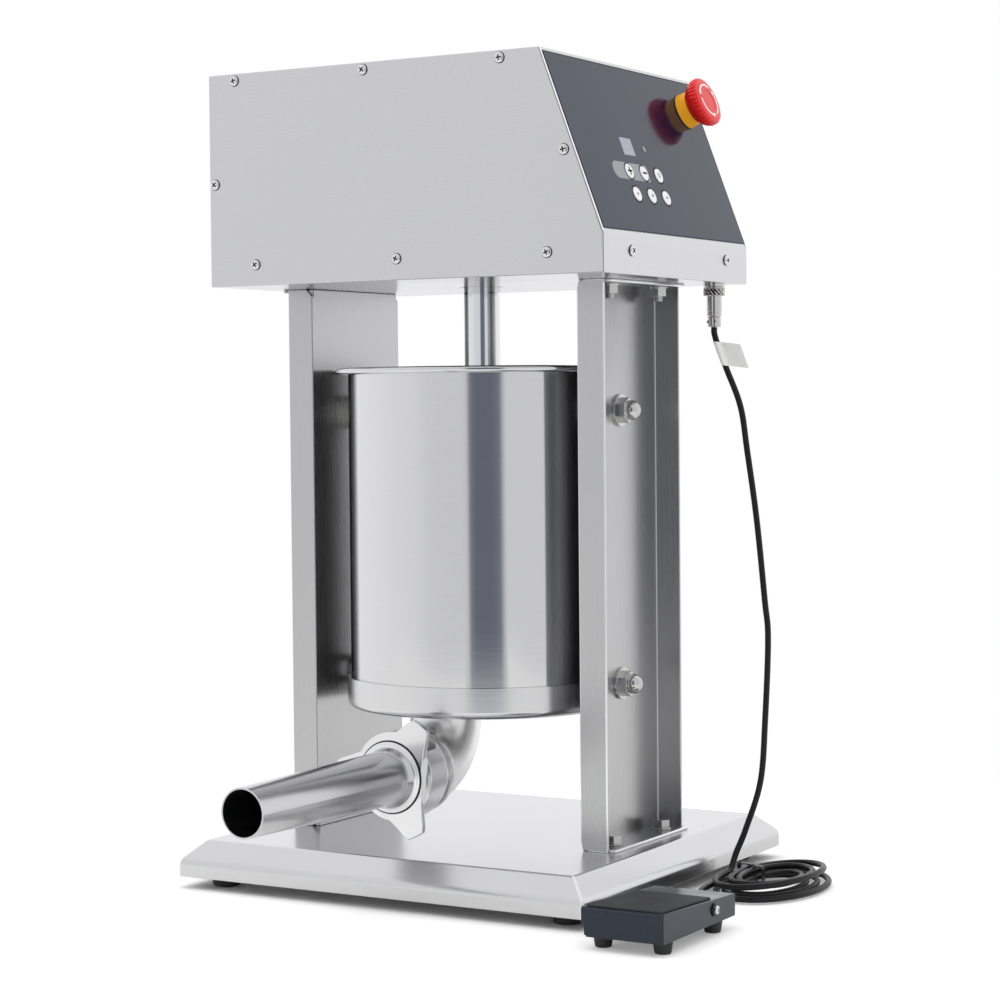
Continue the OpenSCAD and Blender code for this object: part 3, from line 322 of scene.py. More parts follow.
@dataclass(frozen=True)
class Finish:
    """A finish of one material, from a dark to a light tint and a low to a high roughness."""

    name: str
    dark: Triple
    light: Triple
    rough: Point
    bump: float = 0.05
    specular: float = 0.5
    tint: Triple = (1.0, 1.0, 1.0)
    metallic: float = 0.0

    def material(self) -> Material:
        """The material, built the first time that it is asked for."""
        return bpy.data.materials.get(f"{self.name}_finish") or self.build()

    def marks(self, wiring: Wiring, coords: NodeSocket, shades: Inputs) -> bpy.types.NodeOutputs:
        """Sockets of the group that marks the surface; each kind of finish has its own."""
        raise NotImplementedError

    def build(self) -> Material:
        """Builds the material: its marks feed colour, roughness and bump.

        Returns:
            The new material.
        """
        made = bpy.data.materials.new(f"{self.name}_finish")
        made.use_nodes = True
        wiring = Wiring(made.node_tree)
        low, high = self.rough
        shades = {"Dark": (*self.dark, 1), "Light": (*self.light, 1), "Rough Low": low, "Rough High": high}
        marks = self.marks(wiring, wiring.add("TexCoord")["Object"], shades)
        bump = wiring.add("Bump", {"Strength": self.bump, "Distance": BUMP_DEEP, "Height": marks["Height"]})
        wiring.feed(made.node_tree.nodes["Principled BSDF"], {
            "Base Color": marks["Color"], "Roughness": marks["Roughness"], "Normal": bump["Normal"],
            "Metallic": self.metallic, "Specular IOR Level": self.specular,
            "Specular Tint": (*self.tint, 1),
        })
        return made


@dataclass(frozen=True)
class Steel(Finish):
    """Stainless steel with grinding lines along one direction."""

    metallic: float = 1.0
    lay: Lay = Lay.ALONG_X

    def marks(self, wiring: Wiring, coords: NodeSocket, shades: Inputs) -> bpy.types.NodeOutputs:
        """Grinding lines along this steel's lay.

        Args:
            wiring: The material's wiring.
            coords: Object coordinates.
            shades: Tints and roughness.

        Returns:
            Sockets of the placed group.
        """
        lines = wiring.add("Mapping", {"Vector": coords, "Scale": self.lay.value, "Location": -ROD_AXIS})
        group = bpy.data.node_groups.get("ground_lines") or Groups.ground_lines()
        inputs = {"Line Vector": lines["Vector"], "Cloud Vector": coords, **shades}
        return wiring.add("Group", inputs, node_tree=group)


@dataclass(frozen=True)
class Moulded(Finish):
    """Plastic, rubber or paint with a fine grain."""

    grain: float = 900.0

    def marks(self, wiring: Wiring, coords: NodeSocket, shades: Inputs) -> bpy.types.NodeOutputs:
        """A coat of fine grain."""
        group = bpy.data.node_groups.get("moulded_grain") or Groups.moulded_grain()
        return wiring.add("Group", {"Vector": coords, "Grain Scale": self.grain, **shades}, node_tree=group)


HEAD_SHEET = Steel("head_sheet", (0.615, 0.615, 0.622), (0.64, 0.64, 0.647), (0.25, 0.285), 0.006)
FLOOR_SHEET = Steel("floor_sheet", (0.46, 0.46, 0.47), (0.54, 0.54, 0.55), (0.14, 0.22), 0.01)
COLUMN_SHEET = Steel(
    "column_sheet", (0.49, 0.49, 0.493), (0.515, 0.515, 0.515), (0.26, 0.30), 0.005, lay=Lay.ALONG_Z
)
BASE_SHEET = Steel("base_sheet", (0.625, 0.625, 0.63), (0.66, 0.66, 0.66), (0.21, 0.26), 0.005)
# Lighter, rougher steel on the base's mitred corners: a ground weld, and painted highlight where the
# corners catch light.
CORNER_GRIND_HIGHLIGHT = Moulded(
    "corner_grind_highlight", (0.78, 0.78, 0.78), (0.86, 0.86, 0.86), (0.40, 0.52), 0.02, metallic=0.35
)
BARREL_STEEL = Steel(
    "barrel_steel", (0.64, 0.64, 0.645), (0.70, 0.70, 0.705), (0.07, 0.12), 0.008, lay=Lay.ROUND_Z
)
PAN_STEEL = Steel(
    "pan_steel", (0.64, 0.64, 0.645), (0.71, 0.71, 0.715), (0.20, 0.28), 0.012, lay=Lay.ROUND_Z
)
ELBOW_STEEL = Steel(
    "elbow_steel", (0.87, 0.87, 0.862), (0.92, 0.92, 0.91), (0.28, 0.36), 0.010, lay=Lay.ROUND_Z
)
OUTLET_STEEL = Steel(
    "outlet_steel", (0.74, 0.74, 0.745), (0.81, 0.81, 0.815), (0.15, 0.23), 0.01, lay=Lay.ROUND_Y
)
WELD_STEEL = Steel(
    "weld_steel", (0.40, 0.37, 0.33), (0.56, 0.54, 0.52), (0.16, 0.30), 0.05, lay=Lay.ROUND_Z
)
NOZZLE_STEEL = Steel(
    "nozzle_steel", (0.56, 0.56, 0.565), (0.64, 0.64, 0.645), (0.17, 0.25), 0.015, lay=Lay.ALONG_Y
)
ROD_STEEL = Steel(
    "rod_steel", (0.70, 0.705, 0.72), (0.77, 0.775, 0.79), (0.04, 0.07), 0.006, lay=Lay.ROUND_Z
)
BOLT_STEEL = Steel("bolt_steel", (0.50, 0.50, 0.49), (0.62, 0.62, 0.61), (0.08, 0.16), 0.02)
HEX_STEEL = Steel("hex_steel", (0.36, 0.36, 0.35), (0.46, 0.46, 0.45), (0.10, 0.18), 0.02)
PLUG_STEEL = Steel(
    "plug_steel", (0.51, 0.50, 0.485), (0.65, 0.64, 0.62), (0.06, 0.12), 0.02, lay=Lay.ROUND_Z
)
# Much lighter copy of the sheet steel, painted onto edges and folds as the highlight they catch.
HIGHLIGHT_STEEL = Steel(
    "painted_highlight_steel", (0.83, 0.83, 0.84), (0.90, 0.90, 0.91), (0.12, 0.20), 0.01, lay=Lay.ALONG_Z
)
SCREW_STEEL = Steel("screw_steel", (0.68, 0.68, 0.67), (0.78, 0.78, 0.77), (0.08, 0.16), 0.02)
# Near-black steel painted into recesses, grooves and gaps as their shade.
SHADE_PAINT_STEEL = Steel("painted_shade_steel", (0.03, 0.03, 0.03), (0.06, 0.06, 0.06), (0.40, 0.55), 0.04)
GEAR_STEEL = Steel("gear_steel", (0.34, 0.34, 0.35), (0.44, 0.44, 0.45), (0.28, 0.42), 0.06)
BRONZE = Steel("guide_bronze", (0.50, 0.34, 0.15), (0.62, 0.44, 0.22), (0.25, 0.40), 0.04, lay=Lay.ROUND_Z)
OVERLAY_FILM = Moulded(
    "overlay_film", (0.005, 0.008, 0.026), (0.007, 0.010, 0.031), (0.10, 0.15), 0.006, 0.39,
    (0.80, 0.88, 1.0), grain=500,
)
WINDOW_FILM = Moulded("window_film", (0.31, 0.31, 0.39), (0.35, 0.35, 0.43), (0.10, 0.16), 0.006, grain=500)
PILL_PRINT = Moulded(
    "pill_print", (0.235, 0.245, 0.265), (0.265, 0.275, 0.295), (0.14, 0.20), 0.006, grain=500
)
KEY_WHITE = Moulded("key_white", (0.78, 0.78, 0.80), (0.86, 0.86, 0.88), (0.18, 0.28), 0.02)
# Near-black print, also painted as the shadow ring round each key.
KEY_PRINT_AND_SHADE = Moulded("key_print_and_shade", (0.010, 0.010, 0.012), (0.016, 0.016, 0.018), (0.40, 0.50), 0.02, 0.1)
GREY_PRINT = Moulded("grey_print", (0.08, 0.08, 0.09), (0.11, 0.11, 0.12), (0.30, 0.40), 0.02)
LIGHT_LENS = Moulded("light_lens", (0.26, 0.23, 0.24), (0.32, 0.29, 0.30), (0.06, 0.12), 0.0)
STOP_YELLOW = Moulded("stop_yellow", (0.97, 0.40, 0.014), (0.99, 0.47, 0.022), (0.22, 0.32), 0.02, 0.3)
STOP_RED = Moulded("stop_red", (0.68, 0.012, 0.010), (0.76, 0.018, 0.016), (0.16, 0.26), 0.015, 0.4)
STOP_WHITE = Moulded("stop_white", (0.84, 0.84, 0.82), (0.90, 0.90, 0.88), (0.30, 0.40), 0.02)
BLACK_PLASTIC = Moulded("black_plastic", (0.012, 0.012, 0.013), (0.022, 0.022, 0.024), (0.32, 0.46), 0.06)
WHITE_PLASTIC = Moulded("white_plastic", (0.72, 0.72, 0.70), (0.80, 0.80, 0.78), (0.35, 0.48), 0.05)
FOOT_RUBBER = Moulded("foot_rubber", (0.014, 0.014, 0.014), (0.026, 0.026, 0.026), (0.55, 0.70), 0.12)
PAD_RUBBER = Moulded("pad_rubber", (0.022, 0.023, 0.025), (0.034, 0.035, 0.038), (0.40, 0.55), 0.08)
CORD_RUBBER = Moulded(
    "cord_rubber", (0.004, 0.004, 0.005), (0.008, 0.008, 0.009), (0.30, 0.42), 0.06, 0.28, grain=1600
)
TIE_PLASTIC = Moulded(
    "tie_plastic", (0.010, 0.010, 0.011), (0.020, 0.020, 0.022), (0.24, 0.36), 0.04, grain=1300
)
PEDAL_PAINT = Moulded(
    "pedal_paint", (0.006, 0.009, 0.018), (0.010, 0.014, 0.025), (0.18, 0.28), 0.05, 0.46,
    (0.84, 0.90, 1.0), grain=1100,
)
MOTOR_PAINT = Moulded("motor_paint", (0.035, 0.037, 0.040), (0.055, 0.057, 0.060), (0.40, 0.52), 0.08)
BOARD_LACQUER = Moulded("board_lacquer", (0.010, 0.090, 0.040), (0.016, 0.130, 0.058), (0.25, 0.36), 0.04)
TAG_PAPER = Moulded("tag_paper", (0.80, 0.80, 0.79), (0.87, 0.87, 0.86), (0.60, 0.72), 0.06)

NODE_FINISH: dict[Finish, str] = {
    HEAD_SHEET: "front_panel back_panel head_cover control_panel drive_plates",
    FLOOR_SHEET: "head_floor",
    COLUMN_SHEET: "left_column right_column",
    BASE_SHEET: "base_pan",
    BARREL_STEEL: "cylinder_barrel piston_plate",
    PAN_STEEL: "cylinder_pan",
    ELBOW_STEEL: "outlet_elbow",
    OUTLET_STEEL: "outlet_ferrule nozzle_nut",
    NOZZLE_STEEL: "nozzle",
    ROD_STEEL: "piston_rod",
    BOLT_STEEL: "cylinder_studs frame_nuts cover_screws air_valve pedal_pivot",
    HEX_STEEL: "column_bolts",
    PLUG_STEEL: "pedal_socket plug_ring cable_plug",
    GEAR_STEEL: "pinion_bearings pinion_shaft drive_gear motor_pinion",
    BRONZE: "rod_guides",
    OVERLAY_FILM: "control_overlay",
    WINDOW_FILM: "display_window",
    KEY_WHITE: "key_plus key_minus key_right key_low_left key_low_middle key_low_right",
    STOP_YELLOW: "stop_collar",
    STOP_RED: "stop_cap",
    BLACK_PLASTIC: "mains_inlet stop_barrel stop_stem pedal_switch pedal_plunger",
    TIE_PLASTIC: "cord_tie",
    WHITE_PLASTIC: "guide_pads nozzle_gasket piston_seal",
    FOOT_RUBBER: "base_feet pedal_feet",
    PAD_RUBBER: "pedal_pad",
    CORD_RUBBER: "cord_drop cord_coil cord_lead",
    PEDAL_PAINT: "pedal_base pedal_hood",
    MOTOR_PAINT: "gear_motor",
    BOARD_LACQUER: "control_board",
}


@dataclass(frozen=True)
class Rounding:
    """Which edges of a shape are rounded, and how much; lengths in mm."""

    width: float
    segments: int = 3
    least: float = 0.0
    angle: float = 25.0
    low: float = -10.0
    high: float = 2000.0
    clamp: bool = True
    hollow: bool = False
    material: int = -1

    def takes(self, edge: BMEdge) -> bool:
        """Whether this rounding takes an edge.

        Args:
            edge: An edge of the shape.

        Returns:
            True for a sharp edge within the limits: an outward one, or an inward one if hollow.
        """
        if not edge.is_manifold or edge.is_convex == self.hollow or edge.calc_length() < self.least * MM:
            return False
        inside = all(self.low * MM <= v.co.z <= self.high * MM for v in edge.verts)
        return inside and edge.calc_face_angle() > math.radians(self.angle)


class Shape:
    """Small shapes in their own bmesh, in metres."""

    @staticmethod
    def lathe(profile: Profile, steps: int = 64, closed: bool = False, r: float = 0.0) -> BMesh:
        """Profile spun about Z.

        Args:
            profile: Radius and height of each corner, in mm.
            steps: Facets round the axis.
            closed: Whether the last corner joins the first.
            r: Radius in mm from which the profile's radii are counted.

        Returns:
            The merged surface with its faces outwards.
        """
        bm = bmesh.new()
        verts = [bm.verts.new(((r + x) * MM, 0.0, h * MM)) for x, h in profile]
        pairs = list(zip(verts, verts[1:])) + ([(verts[-1], verts[0])] if closed else [])
        edges = [bm.edges.new(p) for p in pairs]
        bmesh.ops.spin(
            bm, geom=verts + edges, cent=(0, 0, 0), axis=(0, 0, 1), angle=math.tau, steps=steps,
            use_merge=True,
        )
        bmesh.ops.remove_doubles(bm, verts=bm.verts, dist=1e-7)
        bmesh.ops.recalc_face_normals(bm, faces=bm.faces)
        return bm

    @staticmethod
    def slab(outline: Profile, thick: float) -> BMesh:
        """Flat outline raised along Z.

        Args:
            outline: Its corners, in mm.
            thick: Its thickness, in mm.

        Returns:
            The closed slab.
        """
        bm = bmesh.new()
        face = bm.faces.new([bm.verts.new((x * MM, y * MM, 0.0)) for x, y in outline])
        raised = bmesh.ops.extrude_face_region(bm, geom=[face])["geom"]
        bmesh.ops.translate(bm, verts=verts_of(raised), vec=(0, 0, thick * MM))
        bmesh.ops.recalc_face_normals(bm, faces=bm.faces)
        return bm

    @staticmethod
    def band(line: Profile, length: float, thick: float) -> BMesh:
        """Thin strip drawn out along Z.

        Args:
            line: Its end view, in mm.
            length: Its length along Z, in mm.
            thick: Its thickness, in mm.

        Returns:
            The closed strip.
        """
        bm = bmesh.new()
        verts = [bm.verts.new((x * MM, y * MM, 0.0)) for x, y in line]
        edges = [bm.edges.new(p) for p in zip(verts, verts[1:])]
        drawn = bmesh.ops.extrude_edge_only(bm, edges=edges)["geom"]
        bmesh.ops.translate(bm, verts=verts_of(drawn), vec=(0, 0, length * MM))
        bmesh.ops.solidify(bm, geom=bm.faces[:], thickness=thick * MM)
        bmesh.ops.recalc_face_normals(bm, faces=bm.faces)
        return bm

    @staticmethod
    def box(x: float, y: float, z: float) -> BMesh:
        """Box that stands on its zero.

        Args:
            x: Size along X, in mm.
            y: Size along Y, in mm.
            z: Height, in mm.

        Returns:
            The box.
        """
        bm = bmesh.new()
        bmesh.ops.create_cube(bm, size=1.0)
        bmesh.ops.translate(bm, verts=bm.verts, vec=(0, 0, 0.5))
        bmesh.ops.scale(bm, verts=bm.verts, vec=(x * MM, y * MM, z * MM))
        return bm

    @staticmethod
    def soften(bm: BMesh, rounding: Rounding) -> BMesh:
        """Rounds the edges that a rounding takes.

        Args:
            bm: The shape.
            rounding: Which edges, and how much.

        Returns:
            The same shape.
        """
        edges = [e for e in bm.edges if rounding.takes(e)]
        bmesh.ops.bevel(
            bm, geom=edges, offset=rounding.width * MM, offset_type="OFFSET", segments=rounding.segments,
            profile=0.5, affect="EDGES", clamp_overlap=rounding.clamp, material=rounding.material,
        )
        return bm


class Piece:
    """A new piece of the object, gathered from shapes and then given its body and finish."""

    def __init__(self, name: str) -> None:
        """Starts an empty piece."""
        self.name = name
        self.bm = bmesh.new()

    def add(self, shape: BMesh, where: Matrix) -> Piece:
        """Adds a shape, and uses it up.

        Args:
            shape: The shape.
            where: Its place.

        Returns:
            The same piece.
        """
        bmesh.ops.transform(shape, matrix=where, verts=shape.verts)
        loose = bpy.data.meshes.new("loose")
        shape.to_mesh(loose)
        shape.free()
        self.bm.from_mesh(loose)
        bpy.data.meshes.remove(loose)
        return self

    def done(
        self, finish: Finish | Sequence[Finish], body: str, slot: str, *replaces: str, sharp: float = SHARP
    ) -> Object:
        """Makes the object.

        Args:
            finish: The piece's finish, or one for each material index.
            body: The body that it rides on.
            slot: The record's material slot; not used.
            replaces: Nodes that it stands for.
            sharp: Angle in degrees from which an edge stays sharp.

        Returns:
            The finished object.
        """
        mesh = bpy.data.meshes.new(self.name)
        self.bm.to_mesh(mesh)
        self.bm.free()
        mesh.shade_smooth()
        mesh.set_sharp_from_angle(angle=math.radians(sharp))
        for kind in [finish] if isinstance(finish, Finish) else finish:
            mesh.materials.append(kind.material())
        made = new_object(self.name, mesh)
        made.modifiers.new("even_faces", "WEIGHTED_NORMAL").keep_sharp = True
        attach(made, body)
        if replaces:
            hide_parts(*replaces)
        LOG.info("piece %s rides on %s", self.name, body)
        return made


@dataclass
class Assembly:
    """A sub-assembly that rounds copies of the frame's nodes."""

    nodes: dict[str, Object]

    def softened(
        self, node: str, finish: Finish | Sequence[Finish], body: str, slot: str, *passes: Rounding
    ) -> None:
        """Replaces a node by a copy with rounded edges.

        Args:
            node: The node's name.
            finish: Finish of the copy, or one for each material index.
            body: Body that the node belongs to.
            slot: The record's material slot.
            passes: Roundings, one after the other.
        """
        piece = Piece(f"{node}_rounded")
        bm = piece.bm
        bm.from_mesh(self.nodes[node].data)
        bmesh.ops.remove_doubles(bm, verts=bm.verts, dist=MERGE_GAP)
        bmesh.ops.dissolve_limit(bm, angle_limit=FLAT, verts=bm.verts, edges=bm.edges, delimit=set())
        for rounding in passes:
            Shape.soften(bm, rounding)
        piece.done(finish, body, slot, node)


@dataclass
class BasePan:
    """Folded base: upright skirt, sloping shoulder and flat top, with both folds rounded; in mm."""

    skirt_z: float = 9.0
    hem: Profile = ((0.6, 0.0), (0.15, 0.25), (0.0, 0.7))
    fold_z: float = 22.0
    top_z: float = 37.5
    shoulder: float = 16.5
    corner_r: float = 2.6
    fold_r: float = 9.0
    rim_r: float = 4.5
    sheet: float = 2.0
    corner_tilt: float = 0.12
    sharp: float = 40.0
    steps: int = 6

    def section(self) -> list[Point]:
        """Section of the sheet.

        Returns:
            Inset and height of each line round the pan, from the skirt's edge up to the flat top.
        """
        slope = math.atan2(self.top_z - self.fold_z, self.shoulder)
        bend = QUARTER - slope
        low = self.fold_z - self.fold_r * math.tan(bend / 2)
        reach = self.shoulder + self.rim_r * math.tan(slope / 2)
        line = [(inset, self.skirt_z + up) for inset, up in self.hem]
        line += arc(self.fold_r, 180.0, 180.0 - math.degrees(bend), self.steps, (self.fold_r, low))
        rim = (reach, self.top_z - self.rim_r)
        line += arc(self.rim_r, 90.0 + math.degrees(slope), 90.0, self.steps, rim)
        return line

    def build(self) -> None:
        """Draws the section round the base's box and thickens it inwards."""
        low, high = (Vector(c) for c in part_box("base_pan"))
        mid, half = (low + high) / 2, (high - low) / 2
        line = self.section()
        r, first = self.corner_r * MM, line[0][0] * MM
        piece = Piece("base_pan_folded")
        bm = piece.bm
        ring = []
        for k, (sx, sy) in enumerate([(1, 1), (-1, 1), (-1, -1), (1, -1)]):
            corner = (mid.x + sx * (half.x - first - r), mid.y + sy * (half.y - first - r))
            turn = arc(r, 90.0 * k, 90.0 * (k + 1), self.steps, corner)
            ring += [bm.verts.new((x, y, line[0][1] * MM)) for x, y in turn]
        edges = [bm.edges.new(p) for p in zip(ring, ring[1:] + ring[:1])]
        for (inset, _), (deeper, higher) in zip(line, line[1:]):
            drawn = bmesh.ops.extrude_edge_only(bm, edges=edges)["geom"]
            edges = [g for g in drawn if isinstance(g, BMEdge)]
            for v in verts_of(drawn):
                v.co.x -= math.copysign(1.0, v.co.x - mid.x) * (deeper - inset) * MM
                v.co.y -= math.copysign(1.0, v.co.y - mid.y) * (deeper - inset) * MM
                v.co.z = higher * MM
        bmesh.ops.contextual_create(bm, geom=edges)
        bmesh.ops.recalc_face_normals(bm, faces=bm.faces)
        # Corner faces take the lighter finish: ground weld with painted highlight.
        for face in bm.faces:
            face.material_index = int(min(abs(face.normal.x), abs(face.normal.y)) > self.corner_tilt)
        made = piece.done((BASE_SHEET, CORNER_GRIND_HIGHLIGHT), "frame", "stainless", "base_pan", sharp=self.sharp)
        wall = made.modifiers.new("sheet", "SOLIDIFY")
        wall.thickness = self.sheet * MM
        wall.offset = -1.0
        made.modifiers.move(len(made.modifiers) - 1, 0)


@dataclass
class SheetWork(Assembly):
    """Folded columns and head panels with small fold radii, and the fasteners on them."""

    inner: Rounding = Rounding(2.2, 4, 300.0, hollow=True)
    cover: Rounding = Rounding(0.6, 3, 15.0)
    panel: Rounding = Rounding(0.7, 3, 12.0)
    small: Rounding = Rounding(0.4, 2, 0.3, 35.0, clamp=False)
    foot: Rounding = Rounding(1.2, 3, 0.3, 50.0, clamp=False)

    def build(self) -> None:
        """Rounds each sheet and each fastener; the right column's outer folds are painted bright as a
        highlight.
        """
        for node, fold_highlight in (("left_column", 0), ("right_column", 1)):
            # The right column's fold faces take the painted highlight finish.
            outer = Rounding(1.0, 4, 5.0, material=fold_highlight)
            self.softened(node, (COLUMN_SHEET, HIGHLIGHT_STEEL), "frame", "stainless", outer, self.inner)
        for node in ("head_cover", "control_panel"):
            self.softened(node, HEAD_SHEET, "frame", "stainless", self.cover)
        for node in ("front_panel", "back_panel"):
            self.softened(node, HEAD_SHEET, "frame", "stainless", self.panel)
        for node, finish in (
            ("column_bolts", HEX_STEEL), ("frame_nuts", BOLT_STEEL), ("cylinder_studs", BOLT_STEEL)
        ):
            self.softened(node, finish, "frame", "fastener", self.small)
        self.softened("base_feet", FOOT_RUBBER, "frame", "rubber", self.foot)


@dataclass
class Outlet(Assembly):
    """Elbow weld, threaded ferrule and wing nut; in mm."""

    axis_z: float = 98.0
    elbow_y: float = -104.0
    pipe_r: float = 28.5
    bore_r: float = 27.0
    outlet_y: float = -63.0
    weld_z: float = 139.4
    bead: Point = (1.5, 1.1)
    ripples: Sequence[tuple[int, float]] = ((60, 0.14), (7, 0.06))
    thread_r: float = 30.9
    core_r: float = 29.9
    length: float = 33.5
    flange: Point = (32.9, 5.0)
    flange_ease: Profile = ((0.6, 0.0), (0.15, 0.2), (0.0, 0.7))
    end_ease: float = 0.5
    relief: float = 0.6
    pitch: float = 3.0
    crest: Triple = (0.35, 0.6, 0.95)
    wing_y: float = -142.0
    wing_front: float = -147.0
    neck_r: float = 23.65
    seat_line: Profile = ((24.25, 0), (34.6, 0), (34.9, 0.2), (34.9, 0.7), (24.25, 0.7))
    lip_line: Profile = (
        (0, 0), (3.7, 0), (4.1, 0.35), (4.1, 0.9), (3.6, 1.3), (2.1, 1.45), (0.9, 1.8), (0.3, 2.4),
        (0, 2.4),
    )
    # Thin dark ring round the nozzle's lip, painted as the shadow of the gap between lip and plate.
    gap_shadow_line: Profile = ((3.9, 0), (5.3, 0), (5.3, 0.12), (3.9, 0.12))
    edge: Rounding = Rounding(0.7, 3, 0.2, 40.0, clamp=False)
    facets: int = 96

    def ferrule(self) -> None:
        """Ferrule with a rounded flange and ring-shaped thread ridges."""
        (r, f), core, out, end = self.flange, self.core_r, self.thread_r, self.length
        line = [(self.bore_r, 0), *((r - inset, h) for inset, h in self.flange_ease)]
        line += [(r - inset, f - h) for inset, h in reversed(self.flange_ease)]
        y = f + self.relief
        line += [(core, f), (core, y)]
        while y + self.pitch < end - self.relief:
            line += [(x, y + share * self.pitch) for x, share in zip((out, out, core), self.crest)]
            y += self.pitch
        line += [(core, end - self.end_ease), (core - self.end_ease, end), (self.bore_r, end)]
        shape = Shape.lathe(line, self.facets, True)
        piece = Piece("outlet_ferrule_threaded").add(shape, along_y(0, self.elbow_y, self.axis_z))
        piece.done(OUTLET_STEEL, "frame", "stainless", "outlet_ferrule", sharp=24.0)

    def weld(self) -> None:
        """Rippled weld bead where the elbow meets the pan."""
        wide, high = self.bead
        bead = [(0.4 + wide * x, high * y) for x, y in arc(1.0, 0.0, 324.0, 9)]
        shape = Shape.lathe(bead, 180, True, self.pipe_r)
        for v in shape.verts:
            a = math.atan2(v.co.y, v.co.x)
            v.co.z *= 1.0 + sum(deep * math.cos(count * a) for count, deep in self.ripples)
        piece = Piece("elbow_weld").add(shape, place(0, self.outlet_y, self.weld_z))
        piece.done(WELD_STEEL, "frame", "stainless", sharp=60.0)

    def rings(self) -> None:
        """Seat behind the wing plate, rolled lip round the nozzle's root, and a dark ring round the lip
        painted as the shadow of its gap.
        """
        neck, front = self.neck_r, self.wing_front
        for name, line, r, y, finish, body, sharp in (
            ("nut_seat", self.seat_line, 0.0, self.wing_y + 0.1, OUTLET_STEEL, "nozzle_nut", SHARP),
            ("nozzle_lip", self.lip_line, neck, front - 0.25, OUTLET_STEEL, "nozzle", 50.0),
            ("lip_gap_shadow", self.gap_shadow_line, neck, front, SHADE_PAINT_STEEL, "nozzle_nut", SHARP),
        ):
            piece = Piece(name).add(Shape.lathe(line, self.facets, True, r), along_y(0, y, self.axis_z))
            piece.done(finish, body, "stainless", sharp=sharp)

    def build(self) -> None:
        """Ferrule, weld, rings and the nut with rounded edges."""
        self.ferrule()
        self.weld()
        self.rings()
        self.softened("nozzle_nut", OUTLET_STEEL, "nozzle_nut", "stainless", self.edge)


@dataclass(frozen=True)
class CrossHead:
    """Domed screw head with its cross recess painted dark as shade; in mm."""

    r: float = 4.0
    h: float = 2.4
    slot_w: float = 1.1
    slot_l: float = 4.6
    deep: float = 1.2
    rim: float = 0.35
    rim_foot: Point = (0.1, 0.2)
    foot: Point = (0.8, 0.14)
    tool_h: float = 3.0

    def dome(self, steps: int = 8) -> list[Point]:
        """Profile of the head.

        Args:
            steps: Steps of its crown.

        Returns:
            Radius and height from the axis, round an undercut foot, to the axis again.
        """
        r, h = self.r, self.h
        crown = [(r * x, h * (self.rim + (1 - self.rim) * y)) for x, y in arc(1.0, 0.0, 90.0, steps)[:-1]]
        (share, low), (inset, high) = self.foot, self.rim_foot
        return [(0, 0), (share * r, 0), (share * r, low * h), (r - inset, high * h), *crown, (0, h)]

    def mesh(self) -> Mesh:
        """One head with its cross cut in, standing along Z.

        Returns:
            Its mesh, with the recess in painted shade as its second material.
        """
        parts = []
        for shape, finish in (
            (Shape.lathe(self.dome(), 40), SCREW_STEEL),
            # The cutters pass the painted shade to the faces of the cross recess.
            (Shape.box(self.slot_l, self.slot_w, self.tool_h), SHADE_PAINT_STEEL),
            (Shape.box(self.slot_w, self.slot_l, self.tool_h), SHADE_PAINT_STEEL),
        ):
            mesh = bpy.data.meshes.new("screw_part")
            shape.to_mesh(mesh)
            shape.free()
            mesh.materials.append(finish.material())
            parts.append(new_object("screw_part", mesh))
        for tool in parts[1:]:
            tool.location.z = (self.h - self.deep) * MM
            cut = parts[0].modifiers.new("cross", "BOOLEAN")
            cut.operation = "DIFFERENCE"
            cut.solver = "EXACT"
            cut.material_mode = "TRANSFER"
            cut.object = tool
        bpy.context.view_layer.update()
        ready = parts[0].evaluated_get(bpy.context.evaluated_depsgraph_get())
        made = bpy.data.meshes.new_from_object(ready)
        for part in parts:
            bpy.data.objects.remove(part)
        return made

    def fit(self, piece: Piece, spots: Iterable[Matrix]) -> None:
        """Adds a head to a piece at each spot.

        Args:
            piece: The piece that takes the heads.
            spots: Places of the heads' feet.
        """
        mesh = self.mesh()
        for spot in spots:
            shape = bmesh.new()
            shape.from_mesh(mesh)
            piece.add(shape, spot)


@dataclass
class CoverScrews:
    """Cross-head screws of the head's panels; in mm."""

    front_y: float = -147.0
    back_y: float = 105.0
    strip_x: float = 191.0
    strip_z: float = 502.0
    strip_y: Point = (-101.0, 64.0)
    panel: Profile = (
        (-141.0, 647.5), (-18.25, 647.5), (104.5, 647.5), (-122.0, 500.5),
        (11.0, 500.5), (144.0, 500.5), (-161.0, 565.75), (158.93, 575.88),
    )
    turns: Sequence[float] = (0.3, 0.9, 0.1, 0.6, 1.2, 0.4, 0.8, 0.2, 1.0, 0.5)
    # Seat ring under each screw head, painted dark as the shadow gap under it.
    shadow_seat: Profile = ((3.3, 0), (4.45, 0), (4.45, 0.2), (4.2, 0.3), (3.3, 0.3))

    def build(self) -> None:
        """Places all the screws in one piece, and in another the seat rings under their heads, painted dark
        as the shadow gap there.
        """
        spots = [along_y(x, self.front_y, z) for x, z in self.panel]
        spots += [along_y(x, self.back_y, z, 1) for x, z in self.panel]
        spots += [along_x(self.strip_x, y, self.strip_z) for y in self.strip_y]
        heads = Piece("cover_screw_heads")
        CrossHead().fit(heads, [p @ turned(self.turns[k % len(self.turns)]) for k, p in enumerate(spots)])
        heads.done((SCREW_STEEL, SHADE_PAINT_STEEL), "frame", "fastener", "cover_screws")
        shadow_seats = Piece("cover_screw_shadow_seats")
        for spot in spots:
            shadow_seats.add(Shape.lathe(self.shadow_seat, 40, True), spot)
        shadow_seats.done(SHADE_PAINT_STEEL, "frame", "fastener")


